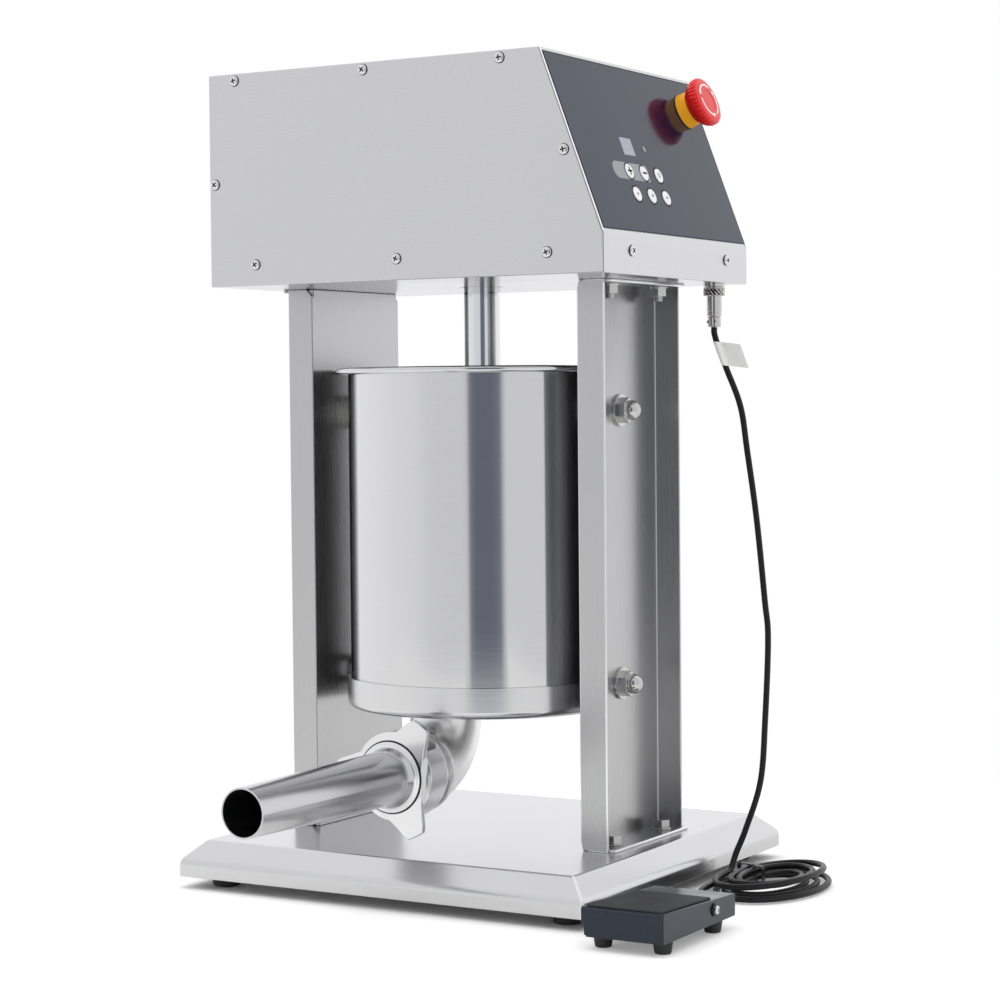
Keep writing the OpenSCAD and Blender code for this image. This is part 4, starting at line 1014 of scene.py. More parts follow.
@dataclass
class StopButton:
    """Emergency stop: yellow collar, red cap with grip notches and white arrows; in mm."""

    s: float = 31.0
    y: float = 74.6
    foot_h: float = 0.5
    collar_r: float = 14.7
    collar_h: float = 9.5
    collar_bore: float = 13.4
    gasket: Profile = ((-0.1, 0), (0.6, 0), (0.6, 0.5), (0.3, 0.8), (-0.1, 0.8))
    cap_line: Profile = (
        (0, 19.4), (6.3, 19.4), (6.3, 9), (13, 9), (13, 15.3), (15.2, 15.3), (15.2, 12), (16.2, 12),
        (17.3, 13.2), (18.6, 14.8), (19.7, 16.6), (20.3, 18.4), (20.3, 21.2), (19.9, 22.6), (19, 23.6),
        (17.6, 24), (15.5, 24.45), (9.8, 24.5), (9.3, 24.1), (0, 24.1),
    )
    notches: int = 36
    notch_steps: int = 4
    notch_deep: float = 0.8
    notch_r: float = 19.5
    notch_z: Point = (17.5, 22.8)
    arrows: int = 3
    arrow_turn: float = 0.5
    arrow_r: Triple = (12.5, 13.25, 14.0)
    arrow_head: Triple = (11.3, 15.2, 0.27)
    top_h: float = 24.45
    print_h: float = 0.12

    def collar(self) -> None:
        """The yellow ring on its thin black gasket."""
        r, h, bore = self.collar_r, self.collar_h, self.collar_bore
        ring = [(bore, 0), (r - 0.2, 0), (r, 0.3), (r - 0.6, h - 0.6), (r - 1.0, h - 0.1), (bore + 0.5, h),
                (bore, h - 0.4)]
        where = slope_place(self.s, self.y, self.foot_h)
        piece = Piece("stop_collar_ring").add(Shape.lathe(ring, 72, True), where)
        piece.done(STOP_YELLOW, "frame", "stop_yellow", "stop_collar")
        lip = Piece("stop_gasket").add(Shape.lathe(self.gasket, 72, True, r), where)
        lip.done(BLACK_PLASTIC, "frame", "black_plastic")

    def cap(self) -> None:
        """The red cap, smooth below and notched round its rim, and the white arrows on it."""
        count = self.notches * self.notch_steps
        shape = Shape.lathe(self.cap_line, count)
        low, high = self.notch_z
        for v in shape.verts:
            flat = math.hypot(v.co.x, v.co.y)
            step = round(math.atan2(v.co.y, v.co.x) / math.tau * count) % self.notch_steps
            if flat > self.notch_r * MM and low * MM < v.co.z < high * MM and step == 0:
                v.co.xy *= 1.0 - self.notch_deep * MM / flat
        piece = Piece("stop_cap_red").add(shape, slope_place(self.s, self.y))
        piece.done(STOP_RED, "stop_cap", "stop_red", "stop_cap")
        signs = Piece("stop_arrows")
        for k in range(self.arrows):
            turn = turned(math.tau * k / self.arrows + self.arrow_turn)
            signs.add(self.arrow(), slope_place(self.s, self.y, self.top_h) @ turn)
        signs.done(STOP_WHITE, "stop_cap", "key")

    def arrow(self) -> BMesh:
        """One curved arrow of white print.

        Returns:
            The thin slab of it, round the cap's axis.
        """
        (inner, mid, outer), (low, high, reach) = self.arrow_r, self.arrow_head
        stop, steps = 91.0, 13
        a = math.radians(stop)
        head = [(r * math.cos(t), r * math.sin(t)) for r, t in ((high, a), (mid, a + reach), (low, a))]
        outline = [*arc(outer, 0.0, stop, steps), *head, *arc(inner, stop, 0.0, steps)]
        return Shape.slab(outline, self.print_h)

    def build(self) -> None:
        """Collar and cap."""
        self.collar()
        self.cap()


class Sign(Enum):
    """Plain signs of the keys."""

    PLUS = "plus"
    MINUS = "minus"
    RING = "ring"
    DOWN = "down"
    DOT = "dot"
    UP = "up"


@dataclass
class Keypad:
    """Keys, light and prints on the dark overlay; in mm."""

    film_h: float = 0.5
    rise: float = 0.9
    key_r: float = 6.0
    pitch: float = 24.8
    row: float = 19.0
    first_s: float = 95.0
    mid_y: float = -43.0
    # Dark ring round each key, painted as the key's shadow on the overlay.
    rim: Profile = ((0.35, 0), (1.25, 0), (1.25, 0.14), (0.8, 0.2), (0.35, 0.14))
    sign_bar: Point = (1.6, 7.0)
    sign_tip: Triple = (1.6, 0.8, 2.0)
    sign_ring: Point = (1.4, 2.1)
    sign_dot: float = 1.3
    pill_half: float = 7.1
    pill_ends: Point = (-2.05, 0.30)
    pill_corner: float = 2.0
    pill_h: float = 0.06
    light: Point = (73.5, -28.1)
    lens_line: Profile = ((0, 0), (2.4, 0), (2.4, 0.3), (2.1, 0.62), (1.4, 0.76), (0, 0.82))
    slope: Triple = (149.23, -147.0, 105.0)
    # Strips on the slope's cut edges, painted bright as the highlight there.
    highlight_strip: Triple = (1.35, 2.3, 0.3)
    highlight_strip_end: float = 1.2
    highlight_strip_ease: Rounding = Rounding(0.12, 2)
    border: Triple = (3.4, 0.7, 0.08)
    print_h: float = 0.1
    keys: Sequence[tuple[str, int, int, Sign]] = (
        ("key_plus", 0, -1, Sign.PLUS), ("key_minus", 0, 0, Sign.MINUS), ("key_right", 0, 1, Sign.RING),
        ("key_low_left", 1, -1, Sign.DOWN), ("key_low_middle", 1, 0, Sign.DOT),
        ("key_low_right", 1, 1, Sign.UP),
    )

    def sign(self, kind: Sign) -> list[BMesh]:
        """Shapes of one plain key sign.

        Args:
            kind: Which sign.

        Returns:
            Its shapes, lying flat.
        """
        tall = self.print_h
        if kind in (Sign.PLUS, Sign.MINUS):
            wide, long = self.sign_bar
            bars = [Shape.box(wide, long, tall)]
            return bars + ([Shape.box(long, wide, tall)] if kind is Sign.PLUS else [])
        if kind in (Sign.DOWN, Sign.UP):
            way = 1.0 if kind is Sign.DOWN else -1.0
            tip, back, side = (size * way for size in self.sign_tip)
            return [Shape.slab([(tip, 0), (-back, side), (-back, -side)], tall)]
        if kind is Sign.RING:
            inner, outer = self.sign_ring
            return [Shape.lathe([(inner, 0), (outer, 0), (outer, tall), (inner, tall)], 32, True)]
        return [Shape.lathe([(0, 0), (self.sign_dot, 0), (self.sign_dot, tall), (0, tall)], 24)]

    def key(self, name: str, line: int, column: int, kind: Sign) -> None:
        """One domed key with its sign and a dark ring round it painted as its shadow.

        Args:
            name: Node and body of the key.
            line: Row, counted down the slope.
            column: Place in the row, counted from the middle.
            kind: Its sign.
        """
        s, y = self.first_s + line * self.row, self.mid_y + column * self.pitch
        top, r = self.film_h + self.rise, self.key_r
        dome = [
            (0, -4.9), (2.5, -4.9), (2.5, -3.4), (r + 1.1, -3.4), (r + 1.1, -1.8), (r - 0.1, -1.8),
            (r - 0.1, top - 0.5), (r - 0.35, top - 0.2), (r - 0.8, top - 0.08), (r - 2.4, top - 0.02),
            (0, top),
        ]
        cap = Piece(f"{name}_cap").add(Shape.lathe(dome, 48), slope_place(s, y))
        cap.done(KEY_WHITE, name, "key", name)
        # Dark ring round the key: painted shadow.
        rim = Piece(f"{name}_rim").add(Shape.lathe(self.rim, 48, True, r), slope_place(s, y, self.film_h))
        rim.done(KEY_PRINT_AND_SHADE, "frame", "overlay")
        sign = Piece(f"{name}_sign")
        for shape in self.sign(kind):
            sign.add(shape, slope_place(s, y, top - self.print_h / 2))
        sign.done(KEY_PRINT_AND_SHADE if kind in (Sign.PLUS, Sign.MINUS) else GREY_PRINT, name, "overlay")

    def pill(self) -> None:
        """Grey printed field behind the first two keys."""
        half, c = self.pill_half, self.pill_corner
        left, right = (self.mid_y + end * self.pitch for end in self.pill_ends)
        tail = [(-half, right - c), (-half + c * 0.3, right - c * 0.3), (-half + c, right)]
        tail += [(-x, y) for x, y in reversed(tail)]
        shape = Shape.slab([*arc(half, 0.0, -180.0, 15, (0.0, left + half)), *tail], self.pill_h)
        piece = Piece("pill_field").add(shape, slope_place(self.first_s, 0, self.film_h))
        piece.done(PILL_PRINT, "frame", "overlay")

    def edges(self) -> None:
        """Strips along the slope's cut edges painted bright as their highlight, and the dark line round the
        overlay.
        """
        length, front, back = self.slope
        inset, wide, tall = self.highlight_strip
        highlight_strip = Piece("slope_edge_highlights")
        for y in (front + inset, back - inset):
            strip = Shape.soften(Shape.box(length - self.highlight_strip_end, wide, tall), self.highlight_strip_ease)
            highlight_strip.add(strip, slope_place(length / 2, y))
        highlight_strip.done(HIGHLIGHT_STEEL, "frame", "stainless")
        gap, wide, tall = self.border
        border = Piece("overlay_border")
        for y in (front + gap, back - gap):
            border.add(Shape.box(length - 2 * gap, wide, tall), slope_place(length / 2, y, self.film_h))
        for s in (gap, length - gap):
            side = Shape.box(wide, back - front - 2 * gap + wide, tall)
            border.add(side, slope_place(s, (front + back) / 2, self.film_h))
        border.done(KEY_PRINT_AND_SHADE, "frame", "overlay")

    def lens(self) -> None:
        """Low lens over the status light."""
        where = slope_place(*self.light, self.film_h)
        Piece("light_lens").add(Shape.lathe(self.lens_line, 32), where).done(LIGHT_LENS, "frame", "window")

    def build(self) -> None:
        """All the keys, prints and the light."""
        for key in self.keys:
            self.key(*key)
        self.pill()
        self.edges()
        self.lens()


@dataclass
class Plug:
    """Cord plug under the head: knurled ring, shell with its cord clamp, and a blank paper flag; in mm."""

    x: float = 176.0
    y: float = 73.5
    ring: Triple = (473.8, 481.6, 8.8)
    ring_bore: Point = (6.6, 7.6)
    shell: Triple = (457.0, 475.7, 6.2)
    clamp: Triple = (448.5, 458.0, 5.5)
    saddle: CrossHead = CrossHead(r=1.5, h=0.9, slot_w=0.5, slot_l=2.0, deep=0.5)
    saddle_at: Triple = (2.9, 0.75, 4.4)
    cord_r: float = 2.5
    lip: float = 1.0
    ridges: int = 16
    ridge_steps: int = 6
    ridge_deep: float = 0.8
    slant: float = -0.11
    flag_at: Triple = (177.9, 73.5, 437.0)
    flag_end: Triple = (186.0, 73.5, 416.5)
    flag_size: Point = (21.0, 21.0)
    flag_droop: float = 0.12
    flag_front: Profile = ((1.0, 0.16), (0.6, 0.2), (0.3, 0.3))
    flag_back: Profile = ((0.3, -0.1), (0.6, -0.14), (1.0, -0.14))
    paper: float = 0.16

    def knurled(self) -> None:
        """Coupling ring with slanting ridges between two smooth lips; the valleys between the ridges are
        painted dark as shade.
        """
        low, high, r = self.ring
        inner, bore = self.ring_bore
        tall, lip, steps = high - low, self.lip, 6
        line = [(bore, lip), (inner, lip), (inner, 0), (r - 0.5, 0), (r - 0.1, 0.3), (r - 0.1, lip)]
        line += [(r - 0.1, lip + (tall - 2 * lip) * i / steps) for i in range(1, steps + 1)]
        line += [(r - 0.1, tall - 0.3), (r - 0.5, tall), (bore, tall)]
        count = self.ridges * self.ridge_steps
        shape = Shape.lathe(line, count, True)
        for v in shape.verts:
            flat, h, a = math.hypot(v.co.x, v.co.y), v.co.z / MM, math.atan2(v.co.y, v.co.x)
            if flat > (r - 0.3) * MM and lip < h < tall - lip:
                step = round(a / math.tau * count) % self.ridge_steps
                flat += (0.1 if step < self.ridge_steps / 2 else -self.ridge_deep) * MM
                a += self.slant * (h - tall / 2)
                v.co.xy = flat * math.cos(a), flat * math.sin(a)
        # Valley faces take the dark finish: painted shade between the ridges.
        valley, inside = (r - 0.5 * self.ridge_deep) * MM, lip - 0.1
        for face in shape.faces:
            sunk = all(math.hypot(v.co.x, v.co.y) < valley for v in face.verts)
            between = all(inside < v.co.z / MM < tall - inside for v in face.verts)
            face.material_index = int(sunk and between and face.normal.z < 0.5)
        piece = Piece("plug_ring_knurled").add(shape, place(self.x, self.y, low))
        piece.done((PLUG_STEEL, SHADE_PAINT_STEEL), "plug_ring", "fastener", "plug_ring", sharp=24.0)

    def body(self) -> Object:
        """Shell and cord clamp with two small saddle screws.

        Returns:
            The piece.
        """
        low, high, r = self.shell
        foot, top, c = self.clamp
        rise, tall, hole = low - foot, top - foot, self.cord_r + 0.1
        line = [
            (0, rise), (c - 0.6, rise), (r - 0.7, rise + 0.3), (r, rise + 1.2), (r, rise + 3.2),
            (r - 0.25, rise + 3.5), (r - 0.25, rise + 4.1), (r, rise + 4.4), (r, high - foot),
            (0, high - foot),
        ]
        halves = [
            (hole, 0), (c - 0.8, 0), (c, 0.8), (c, tall - 1.6), (c - 0.8, tall - 0.6), (hole, tall - 0.6),
        ]
        piece = Piece("cable_plug_shell")
        piece.add(Shape.lathe(line, 48), place(self.x, self.y, foot))
        piece.add(Shape.lathe(halves, 40, True), place(self.x, self.y, foot))
        side, deep, up = self.saddle_at
        spots = [(way, along_y(self.x + side * way, self.y - c + deep, foot + up)) for way in (-1, 1)]
        self.saddle.fit(piece, [spot @ turned(0.5 * way) for way, spot in spots])
        return piece.done((PLUG_STEEL, SHADE_PAINT_STEEL), "frame", "fastener", "cable_plug")

    def flag(self) -> Object:
        """Blank paper flag folded round the cord.

        Returns:
            The piece.
        """
        length, wide = self.flag_size
        start, end = Vector(self.flag_at), Vector(self.flag_end)
        down = (end - start).normalized()
        side = Vector((1.0, 0.0, -self.flag_droop)).normalized()
        r = self.cord_r + 0.35
        front, back = ([(wide * x, y) for x, y in leaf] for leaf in (self.flag_front, self.flag_back))
        line = [*front, (r + 1.2, 0.5), *arc(r, 20.0, 340.0, 24), (r + 1.2, -0.25), *back]
        turn = Matrix([side, down.cross(side).normalized(), down]).transposed().to_4x4()
        piece = Piece("cord_flag").add(Shape.band(line, length, self.paper), place(*start) @ turn)
        return piece.done(TAG_PAPER, "frame", "white_plastic")

    def build(self) -> list[Object]:
        """All of the plug; gives the pieces that go with the cord."""
        self.knurled()
        return [self.body(), self.flag()]


@dataclass
class Cord:
    """Pedal cord from the plug through its coil to the pedal; in mm."""

    diameter: float = 5.0
    coil_mid: Point = (241.0, 36.0)
    half: Point = (44.0, 70.0)
    pitch: float = 6.2
    far: float = 8.6
    end_step: float = 10.0
    sway: float = 7.5
    sway_y: float = 20.0
    low_z: float = 3.5
    layer: float = 6.0
    turns_in: float = 3.0
    climb: float = 0.5
    spring: float = 9.0
    turns_out: float = 2.5
    rings: int = 48
    knot_steps: int = 8
    gland: Triple = (244.5, -104.0, 15.5)
    tie_turn: float = 1 / 12
    tie_w: float = 4.0
    tie_r: float = 2.6
    tie_z: float = 0.8
    tie_room: Point = (1.4, 1.2)
    tie_thick: float = 0.6
    lock: Triple = (6.0, 5.0, 1.4)
    lock_gap: float = 0.3
    lock_ease: Rounding = Rounding(0.4, 2)
    boot_line: Profile = (
        (2.55, 0), (4.6, 0), (4.6, 1.6), (4.0, 2.0), (4.3, 2.4), (4.2, 3.4), (3.6, 3.8), (3.9, 4.2),
        (3.8, 5.2), (3.2, 5.6), (3.4, 6.0), (3.2, 7.4), (2.55, 7.8),
    )

    @property
    def turns(self) -> float:
        """Turns in the whole coil."""
        return self.turns_in + self.climb + self.turns_out

    def smooth(self, points: Sequence[Sequence[float]]) -> list[Vector]:
        """Smooth curve through given points.

        Args:
            points: The points.

        Returns:
            They and those between them.
        """
        p = [Vector(q) for q in points]
        last = len(p) - 1
        made = []
        for i in range(last):
            a, b, c, d = p[max(i - 1, 0)], p[i], p[i + 1], p[min(i + 2, last)]
            for k in range(self.knot_steps):
                t = k / self.knot_steps
                square, cube = 2 * a - 5 * b + 4 * c - d, 3 * b - a - 3 * c + d
                made.append(0.5 * (2 * b + (c - a) * t + square * t * t + cube * t ** 3))
        return [*made, p[last]]

    def coil_point(self, t: float) -> Vector:
        """Point of the coil; the upper loops spring up on the side away from the tie.

        Args:
            t: Turns from the coil's start by the lead.

        Returns:
            The point in mm from the rod's axis.
        """
        top = self.turns_in + self.climb
        up, left = (t - self.turns_in) / self.climb, (self.turns - t) / self.climb
        step = t if t <= self.turns_in else self.turns_in - max(t - top, 0.0)
        a = math.radians(self.sway) * max(0.0, min(1.0, up, left))
        lift = self.spring * max(t - top, 0.0) / self.turns_out * min(1.0, left)
        lift *= (1 - math.cos(math.tau * (t - self.tie_turn))) / 2
        wide, deep = self.half
        span = 2 * wide - (self.pitch + self.far) * step
        x = self.pitch * step + span * (1 - math.cos(math.tau * t)) / 2
        y = (deep - self.end_step * step) * math.sin(math.tau * t) - self.sway_y
        return Vector((
            self.coil_mid[0] - wide + x * math.cos(a) - y * math.sin(a),
            self.coil_mid[1] + self.sway_y + x * math.sin(a) + y * math.cos(a),
            self.low_z + self.layer * min(max(up, 0.0), 1.0) + lift,
        ))

    def route(self) -> list[Vector]:
        """Centre line from the plug to the pedal's gland.

        Returns:
            Its points in mm from the rod's axis.
        """
        on, z = Vector((0, self.diameter, 0)), self.low_z
        end = self.coil_point(self.turns) + on
        drop = [
            (176, 73.5, 448.5), (176, 73.5, 443.5), (180, 73.5, 431), (187, 73.5, 414), (199, 73.5, 384),
            (205, 73, 348), (213, 73, 293), (220, 72.5, 228), (223, 72, 196), (221, 70, 131), (218, 67, 81),
            (207, 62, 42), (201.5, 56, 24), end + Vector((0.3, 9, 4.5)), end + on + Vector((0, 0, 0.9)),
            end,
        ]
        start = self.coil_point(0.0) - on
        lead = [
            start, start - on, start - 2 * on, (201, -9, z), (211, -33, z), (224, -54, z),
            (236, -72, z + 1), (243, -88, 11), (244.5, -99, 15.5), self.gland,
        ]
        count = int(self.turns * self.rings)
        coil = [self.coil_point(self.turns - i / self.rings) for i in range(count + 1)]
        return [*self.smooth(drop), *coil, *self.smooth(lead)]

    def tie(self) -> Object:
        """Band round the loops with rounded corners and a small lock on top.

        Returns:
            The piece.
        """
        first, second = self.coil_point(self.tie_turn), self.coil_point(self.turns_in + self.tie_turn)
        ahead = self.coil_point(self.tie_turn + 0.01) - self.coil_point(self.tie_turn - 0.01)
        across = Vector((ahead.y, -ahead.x, 0)).normalized()
        beside, over = self.tie_room
        reach = abs((second - first).dot(across)) / 2 + self.diameter / 2 + beside
        tall, r = self.layer + self.diameter + over, self.tie_r
        corners = [(reach - r, r), (reach - r, tall - r), (r - reach, tall - r), (r - reach, r)]
        line = []
        for k, mid in enumerate(corners):
            line += arc(r, 90.0 * (k - 1), 90.0 * k, 5, mid)
        x, y, _ = (first + second) / 2
        turn = Matrix([across, (0, 0, 1), across.cross(Vector((0, 0, 1)))]).transposed().to_4x4()
        where = place(x, y, self.tie_z) @ turn @ Matrix.Translation((0, 0, -self.tie_w / 2 * MM))
        band = Shape.band([*line, line[0]], self.tie_w, self.tie_thick)
        piece = Piece("cord_tie_band").add(band, where)
        bmesh.ops.remove_doubles(piece.bm, verts=piece.bm.verts, dist=1e-6)
        lock = Shape.soften(Shape.box(*self.lock), self.lock_ease)
        piece.add(lock, place(x, y, tall + self.lock_gap) @ turned(math.atan2(across.y, across.x)))
        return piece.done(TIE_PLASTIC, "frame", "black_plastic", "cord_tie")

    def boot(self) -> Object:
        """Short ribbed boot at the pedal's gland."""
        piece = Piece("pedal_boot").add(Shape.lathe(self.boot_line, 32, True), along_y(*self.gland, 1))
        return piece.done(CORD_RUBBER, "frame", "cord")

    def build(self, pieces: Sequence[Object]) -> None:
        """One curve for the whole cord, with its tie and boot.

        Args:
            pieces: The plug's pieces; not used.
        """
        points = [at(*p) for p in self.route()]
        kept = [points[0]]
        for p in points[1:]:
            if (p - kept[-1]).length > 1e-5:
                kept.append(p)
        line = bpy.data.curves.new("pedal_cord", "CURVE")
        line.dimensions = "3D"
        line.bevel_depth = self.diameter / 2 * MM
        line.bevel_resolution = 4
        line.use_fill_caps = True
        spline = line.splines.new("POLY")
        spline.points.add(len(kept) - 1)
        for knot, p in zip(spline.points, kept):
            knot.co = (*p, 1.0)
        spline.use_smooth = True
        line.materials.append(CORD_RUBBER.material())
        made = new_object("pedal_cord", line)
        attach(made, "frame")
        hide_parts("cord_drop", "cord_coil", "cord_lead")
        self.tie()
        self.boot()


@dataclass
class Pedal(Assembly):
    """Foot pedal: hood, ribbed pad, feet and pivot pin; in mm."""

    x: float = 244.5
    pivot_y: float = -145.0
    pivot_z: float = 20.0
    pin_end: float = 33.3
    pin_r: float = 3.0
    washer: Profile = ((0.05, 0), (1.6, 0), (1.8, 0.2), (1.8, 0.8), (1.6, 1.0), (0.05, 1.0))
    head: CrossHead = CrossHead(r=3.3, h=2.4, slot_w=0.8, slot_l=3.8, deep=1.0)
    head_turn: float = 0.4
    hood_top: Rounding = Rounding(1.0, 4, 8.0, low=12.0)
    hood_foot: Rounding = Rounding(0.4, 2, 8.0, high=12.0)
    rib: Rounding = Rounding(0.35, 2, 8.0)
    tray: Rounding = Rounding(0.4, 2, 4.0)
    foot: Rounding = Rounding(0.8, 3, 0.2, 50.0, clamp=False)

    def end(self, way: int, out: float = 0.0) -> Matrix:
        """Place at an end of the pin, some mm further out, that points away from the pedal."""
        return along_x(self.x + way * (self.pin_end + out), self.pivot_y, self.pivot_z, way)

    def pivot(self) -> None:
        """Pin with a dark washer and a bright cross head at each end."""
        bar = [(0, 0), (self.pin_r, 0), (self.pin_r, 2 * self.pin_end), (0, 2 * self.pin_end)]
        start = along_x(self.x - self.pin_end, self.pivot_y, self.pivot_z)
        piece = Piece("pedal_pin").add(Shape.lathe(bar, 32), start)
        thick = self.washer[-1][1]
        self.head.fit(piece, [self.end(way, thick) @ turned(self.head_turn) for way in (-1, 1)])
        piece.done((SCREW_STEEL, SHADE_PAINT_STEEL), "frame", "fastener", "pedal_pivot")
        rings = Piece("pedal_washers")
        for way in (-1, 1):
            rings.add(Shape.lathe(self.washer, 40, True, self.pin_r), self.end(way))
        rings.done(BLACK_PLASTIC, "frame", "black_plastic")

    def build(self) -> None:
        """Rounded hood, pad, tray and feet, and the pin."""
        self.softened("pedal_hood", PEDAL_PAINT, "pedal", "pedal", self.hood_top, self.hood_foot)
        self.softened("pedal_pad", PAD_RUBBER, "pedal", "rubber", self.rib)
        self.softened("pedal_base", PEDAL_PAINT, "frame", "pedal", self.tray)
        self.softened("pedal_feet", FOOT_RUBBER, "frame", "rubber", self.foot)
        self.pivot()


@dataclass
class Studio:
    """Pale floor, soft white room, and the camera at the photograph's angle; lengths in mm."""

    camera_at: Triple = (1059.9, -1782.5, 388.9)
    yaw: float = 30.37
    pitch: float = -2.22
    roll: float = -0.52
    focal_px: float = 2511.4
    frame_px: float = 1000.0
    sensor: float = 36.0
    view_far: float = 60000.0
    card_off: float = 1050.0
    card_top: float = 1000.0
    card_foot: Point = (-30.0, 120.0)
    card_tones: Sequence[tuple[float, Triple]] = (
        (-290.0, (0.80, 0.80, 0.82)), (-240.0, (0.74, 0.74, 0.77)), (-195.0, (0.24, 0.25, 0.30)),
        (-120.0, (0.165, 0.175, 0.225)), (120.0, (0.165, 0.175, 0.225)), (245.0, (0.21, 0.22, 0.27)),
        (300.0, (0.62, 0.62, 0.65)), (350.0, (0.86, 0.86, 0.88)),
    )
    floor_half: float = 1600.0
    floor_z: float = -0.4
    floor_tone: float = 0.95
    floor_rough: float = 0.9
    floor_gloss: float = 0.1
    floor_glow: float = 0.22
    floor_rim: Point = (-12.0, 20.0)
    floor_fade: Point = (320.0, 850.0)
    air_tint: Triple = (0.98, 0.98, 1.0)
    walls: Profile = (
        (-180, 1.06), (-160, 1.04), (-144, 0.99), (-131, 0.96), (-119, 0.93), (-107, 0.85), (-85, 0.82),
        (-45, 0.84), (-23, 0.85), (0, 0.85), (30, 0.98), (55, 1.12), (90, 1.12), (150, 1.06),
    )
    lamp_aim: Triple = (0.0, 0.0, 0.3)
    lamps: Sequence[tuple[str, Triple, float, float]] = (
        ("top_softbox", (-0.3, -0.5, 2.6), 2.2, 13.0), ("left_softbox", (-2.2, -1.6, 1.4), 1.6, 11.0),
    )

    def camera(self) -> None:
        """Camera from the fit of the photograph."""
        yaw, pitch, roll = (math.radians(a) for a in (self.yaw, self.pitch, self.roll))
        ahead = Vector((-math.sin(yaw) * math.cos(pitch), math.cos(yaw) * math.cos(pitch), math.sin(pitch)))
        right = Vector((math.cos(yaw), math.sin(yaw), 0.0))
        up = right.cross(ahead)
        side = right * math.cos(roll) + up * math.sin(roll)
        top = up * math.cos(roll) - right * math.sin(roll)
        data = bpy.data.cameras.new("photo_camera")
        data.sensor_width = self.sensor
        data.lens = self.focal_px * self.sensor / self.frame_px
        data.clip_end = self.view_far * MM
        made = new_object("photo_camera", data)
        spot = at(*self.camera_at)
        rows = [[side[i], top[i], -ahead[i], spot[i]] for i in range(3)]
        made.matrix_world = Matrix([*rows, [0, 0, 0, 1]])
        bpy.context.scene.camera = made

    def staged(self, name: str, bm: BMesh) -> tuple[Object, Wiring]:
        """Stage object from a shape, with a material of its own.

        Args:
            name: Its name.
            bm: The shape, which is used up.

        Returns:
            The object and its material's wiring.
        """
        mesh = bpy.data.meshes.new(name)
        bm.to_mesh(mesh)
        bm.free()
        made = new_object(name, mesh)
        paint = bpy.data.materials.new(f"{name}_paint")
        paint.use_nodes = True
        mesh.materials.append(paint)
        return made, Wiring(paint.node_tree)

    def floor(self) -> None:
        """Pale floor that keeps the shadow near the object and goes white further off."""
        bm = bmesh.new()
        bmesh.ops.create_grid(bm, x_segments=1, y_segments=1, size=self.floor_half * MM)
        bmesh.ops.translate(bm, verts=bm.verts, vec=(0, 0, self.floor_z * MM))
        _, wiring = self.staged("studio_floor", bm)
        low, high = (Vector(c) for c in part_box("base_pan"))
        coords = wiring.add("TexCoord")["Object"]
        path = wiring.add("LightPath")
        off = wiring.vector("ABSOLUTE", wiring.vector("SUBTRACT", coords, (low + high) / 2))
        past = wiring.add("SeparateXYZ", {0: wiring.vector("SUBTRACT", off, (high - low) / 2)})
        widest = wiring.math("MAXIMUM", past["X"], past["Y"])
        near, clear = (d * MM for d in self.floor_rim)
        lift = wiring.span(widest, near, clear, (0.0, self.floor_glow), "SMOOTHSTEP")
        start, end = (d * MM for d in self.floor_fade)
        fade = wiring.span(wiring.vector("LENGTH", coords, result="Value"), start, end, kind="SMOOTHSTEP")
        seen = wiring.math("MAXIMUM", path["Is Camera Ray"], path["Is Glossy Ray"])
        nodes = wiring.tree.nodes
        shader = wiring.feed(nodes["Principled BSDF"], {
            "Base Color": (*[self.floor_tone] * 3, 1), "Roughness": self.floor_rough,
            "Specular IOR Level": self.floor_gloss, "Emission Color": (1, 1, 1, 1),
            "Emission Strength": wiring.math("MULTIPLY", lift, path["Is Camera Ray"]),
        })
        glow = wiring.add("Emission", {"Strength": 1.0})
        white = wiring.math("MULTIPLY", seen, fade)
        mix = wiring.add("MixShader", {"Fac": white, 1: shader.outputs["BSDF"], 2: glow["Emission"]})
        wiring.feed(nodes["Material Output"], {"Surface": mix["Shader"]})

    def card(self) -> None:
        """Dark screen with soft sides by the camera, which only reflections see."""
        left, right = self.card_tones[0][0], self.card_tones[-1][0]
        bm = Shape.slab([(left, 0), (right, 0), (right, self.card_top), (left, self.card_top)], 1.0)
        yaw = math.radians(self.yaw)
        away = Vector((math.sin(yaw), -math.cos(yaw), 0.0)) * self.card_off
        bmesh.ops.transform(bm, matrix=place(*away) @ turned(yaw) @ turned(QUARTER, "X"), verts=bm.verts)
        made, wiring = self.staged("dark_card", bm)
        coords = wiring.add("TexCoord")["Object"]
        sideways = (math.cos(yaw), math.sin(yaw), 0.0)
        across = wiring.vector("DOT_PRODUCT", coords, sideways, result="Value")
        knots = [((u - left) / (right - left), tone) for u, tone in self.card_tones]
        tones = wiring.tones(wiring.span(across, left * MM, right * MM), knots)
        height = wiring.add("SeparateXYZ", {0: coords})["Z"]
        low, high = (z * MM for z in self.card_foot)
        rise = wiring.span(height, low, high, kind="SMOOTHSTEP")
        glow = wiring.add("Emission", {"Color": wiring.mix(rise, (*self.card_tones[0][1], 1), tones)})
        wiring.feed(wiring.tree.nodes["Material Output"], {"Surface": glow["Emission"]})
        for ray in ("camera", "diffuse", "shadow", "transmission", "volume_scatter"):
            setattr(made, f"visible_{ray}", False)

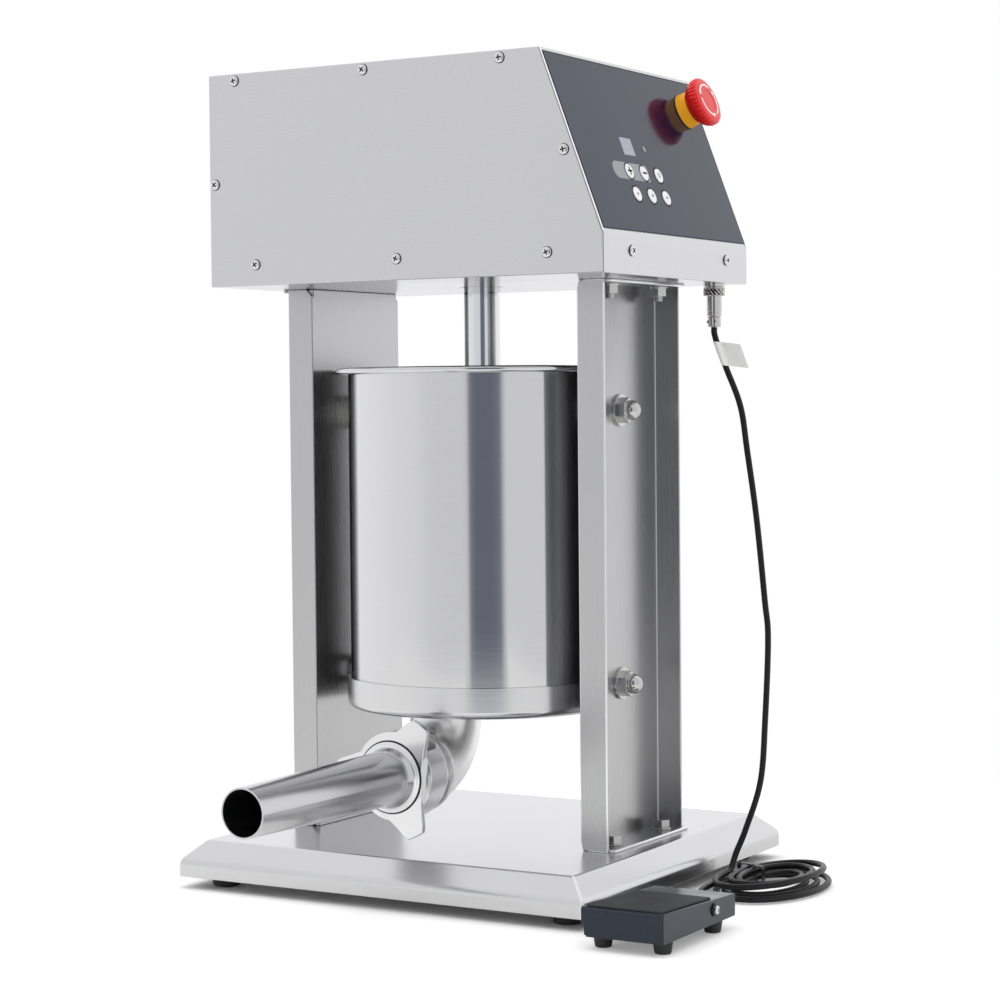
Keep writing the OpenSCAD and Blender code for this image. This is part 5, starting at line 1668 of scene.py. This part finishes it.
    def world(self) -> None:
        """White room for the camera and for metal, with plain fill for the rest."""
        made = bpy.data.worlds.new("studio_world")
        bpy.context.scene.world = made
        made.use_nodes = True
        made.node_tree.nodes.clear()
        wiring = Wiring(made.node_tree)
        path = wiring.add("LightPath")
        split = wiring.add("SeparateXYZ", {0: wiring.add("TexCoord")["Generated"]})
        turn = wiring.span(wiring.math("ARCTAN2", split["Y"], split["X"]), -math.pi, math.pi)
        tint = Vector(self.air_tint)
        knots = [((deg + 180.0) / 360.0, tuple(tint * tone)) for deg, tone in self.walls]
        walls = wiring.tones(turn, knots)
        white = (1, 1, 1, 1)
        seen = wiring.add("Background", {"Color": wiring.mix(path["Is Camera Ray"], walls, white)})
        fill = wiring.add("Background", {"Color": white})
        metal = wiring.math("MAXIMUM", path["Is Glossy Ray"], path["Is Transmission Ray"])
        shown = wiring.math("MAXIMUM", metal, path["Is Camera Ray"])
        mix = wiring.add("MixShader", {"Fac": shown, 1: fill[0], 2: seen[0]})
        wiring.add("OutputWorld", {"Surface": mix[0]})

    def lamp(self, name: str, spot: Triple, size: float, power: float) -> None:
        """One soft square lamp that points at the object and that no metal mirrors.

        Args:
            name: Name of the lamp.
            spot: Where it hangs, in metres.
            size: Width of its face in metres.
            power: Its power in watts.
        """
        data = bpy.data.lights.new(name, "AREA")
        data.size = size
        data.energy = power
        made = new_object(name, data)
        ahead = Vector(self.lamp_aim) - Vector(spot)
        made.matrix_world = Matrix.Translation(spot) @ ahead.to_track_quat("-Z", "Y").to_matrix().to_4x4()
        made.visible_glossy = False

    def build(self) -> None:
        """Camera, floor, world, dark card and lamps."""
        self.camera()
        self.floor()
        self.world()
        self.card()
        for lamp in self.lamps:
            self.lamp(*lamp)
        bpy.context.scene.view_settings.view_transform = "Standard"


def dress_nodes(nodes: dict[str, Object]) -> None:
    """Gives every node of the frame its finish.

    Args:
        nodes: The frame's nodes by name.
    """
    for finish, names in NODE_FINISH.items():
        for name in names.split():
            nodes[name].data.materials.clear()
            nodes[name].data.materials.append(finish.material())


def main() -> None:
    """Builds the whole scene in order."""
    logging.basicConfig(level=logging.INFO)
    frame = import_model()
    nodes = frame["nodes"]
    dress_nodes(nodes)
    Studio().build()
    Cord().build(Plug().build())
    BasePan().build()
    SheetWork(nodes).build()
    Outlet(nodes).build()
    CoverScrews().build()
    StopButton().build()
    Keypad().build()
    Pedal(nodes).build()


if __name__ == "__main__":
    main()
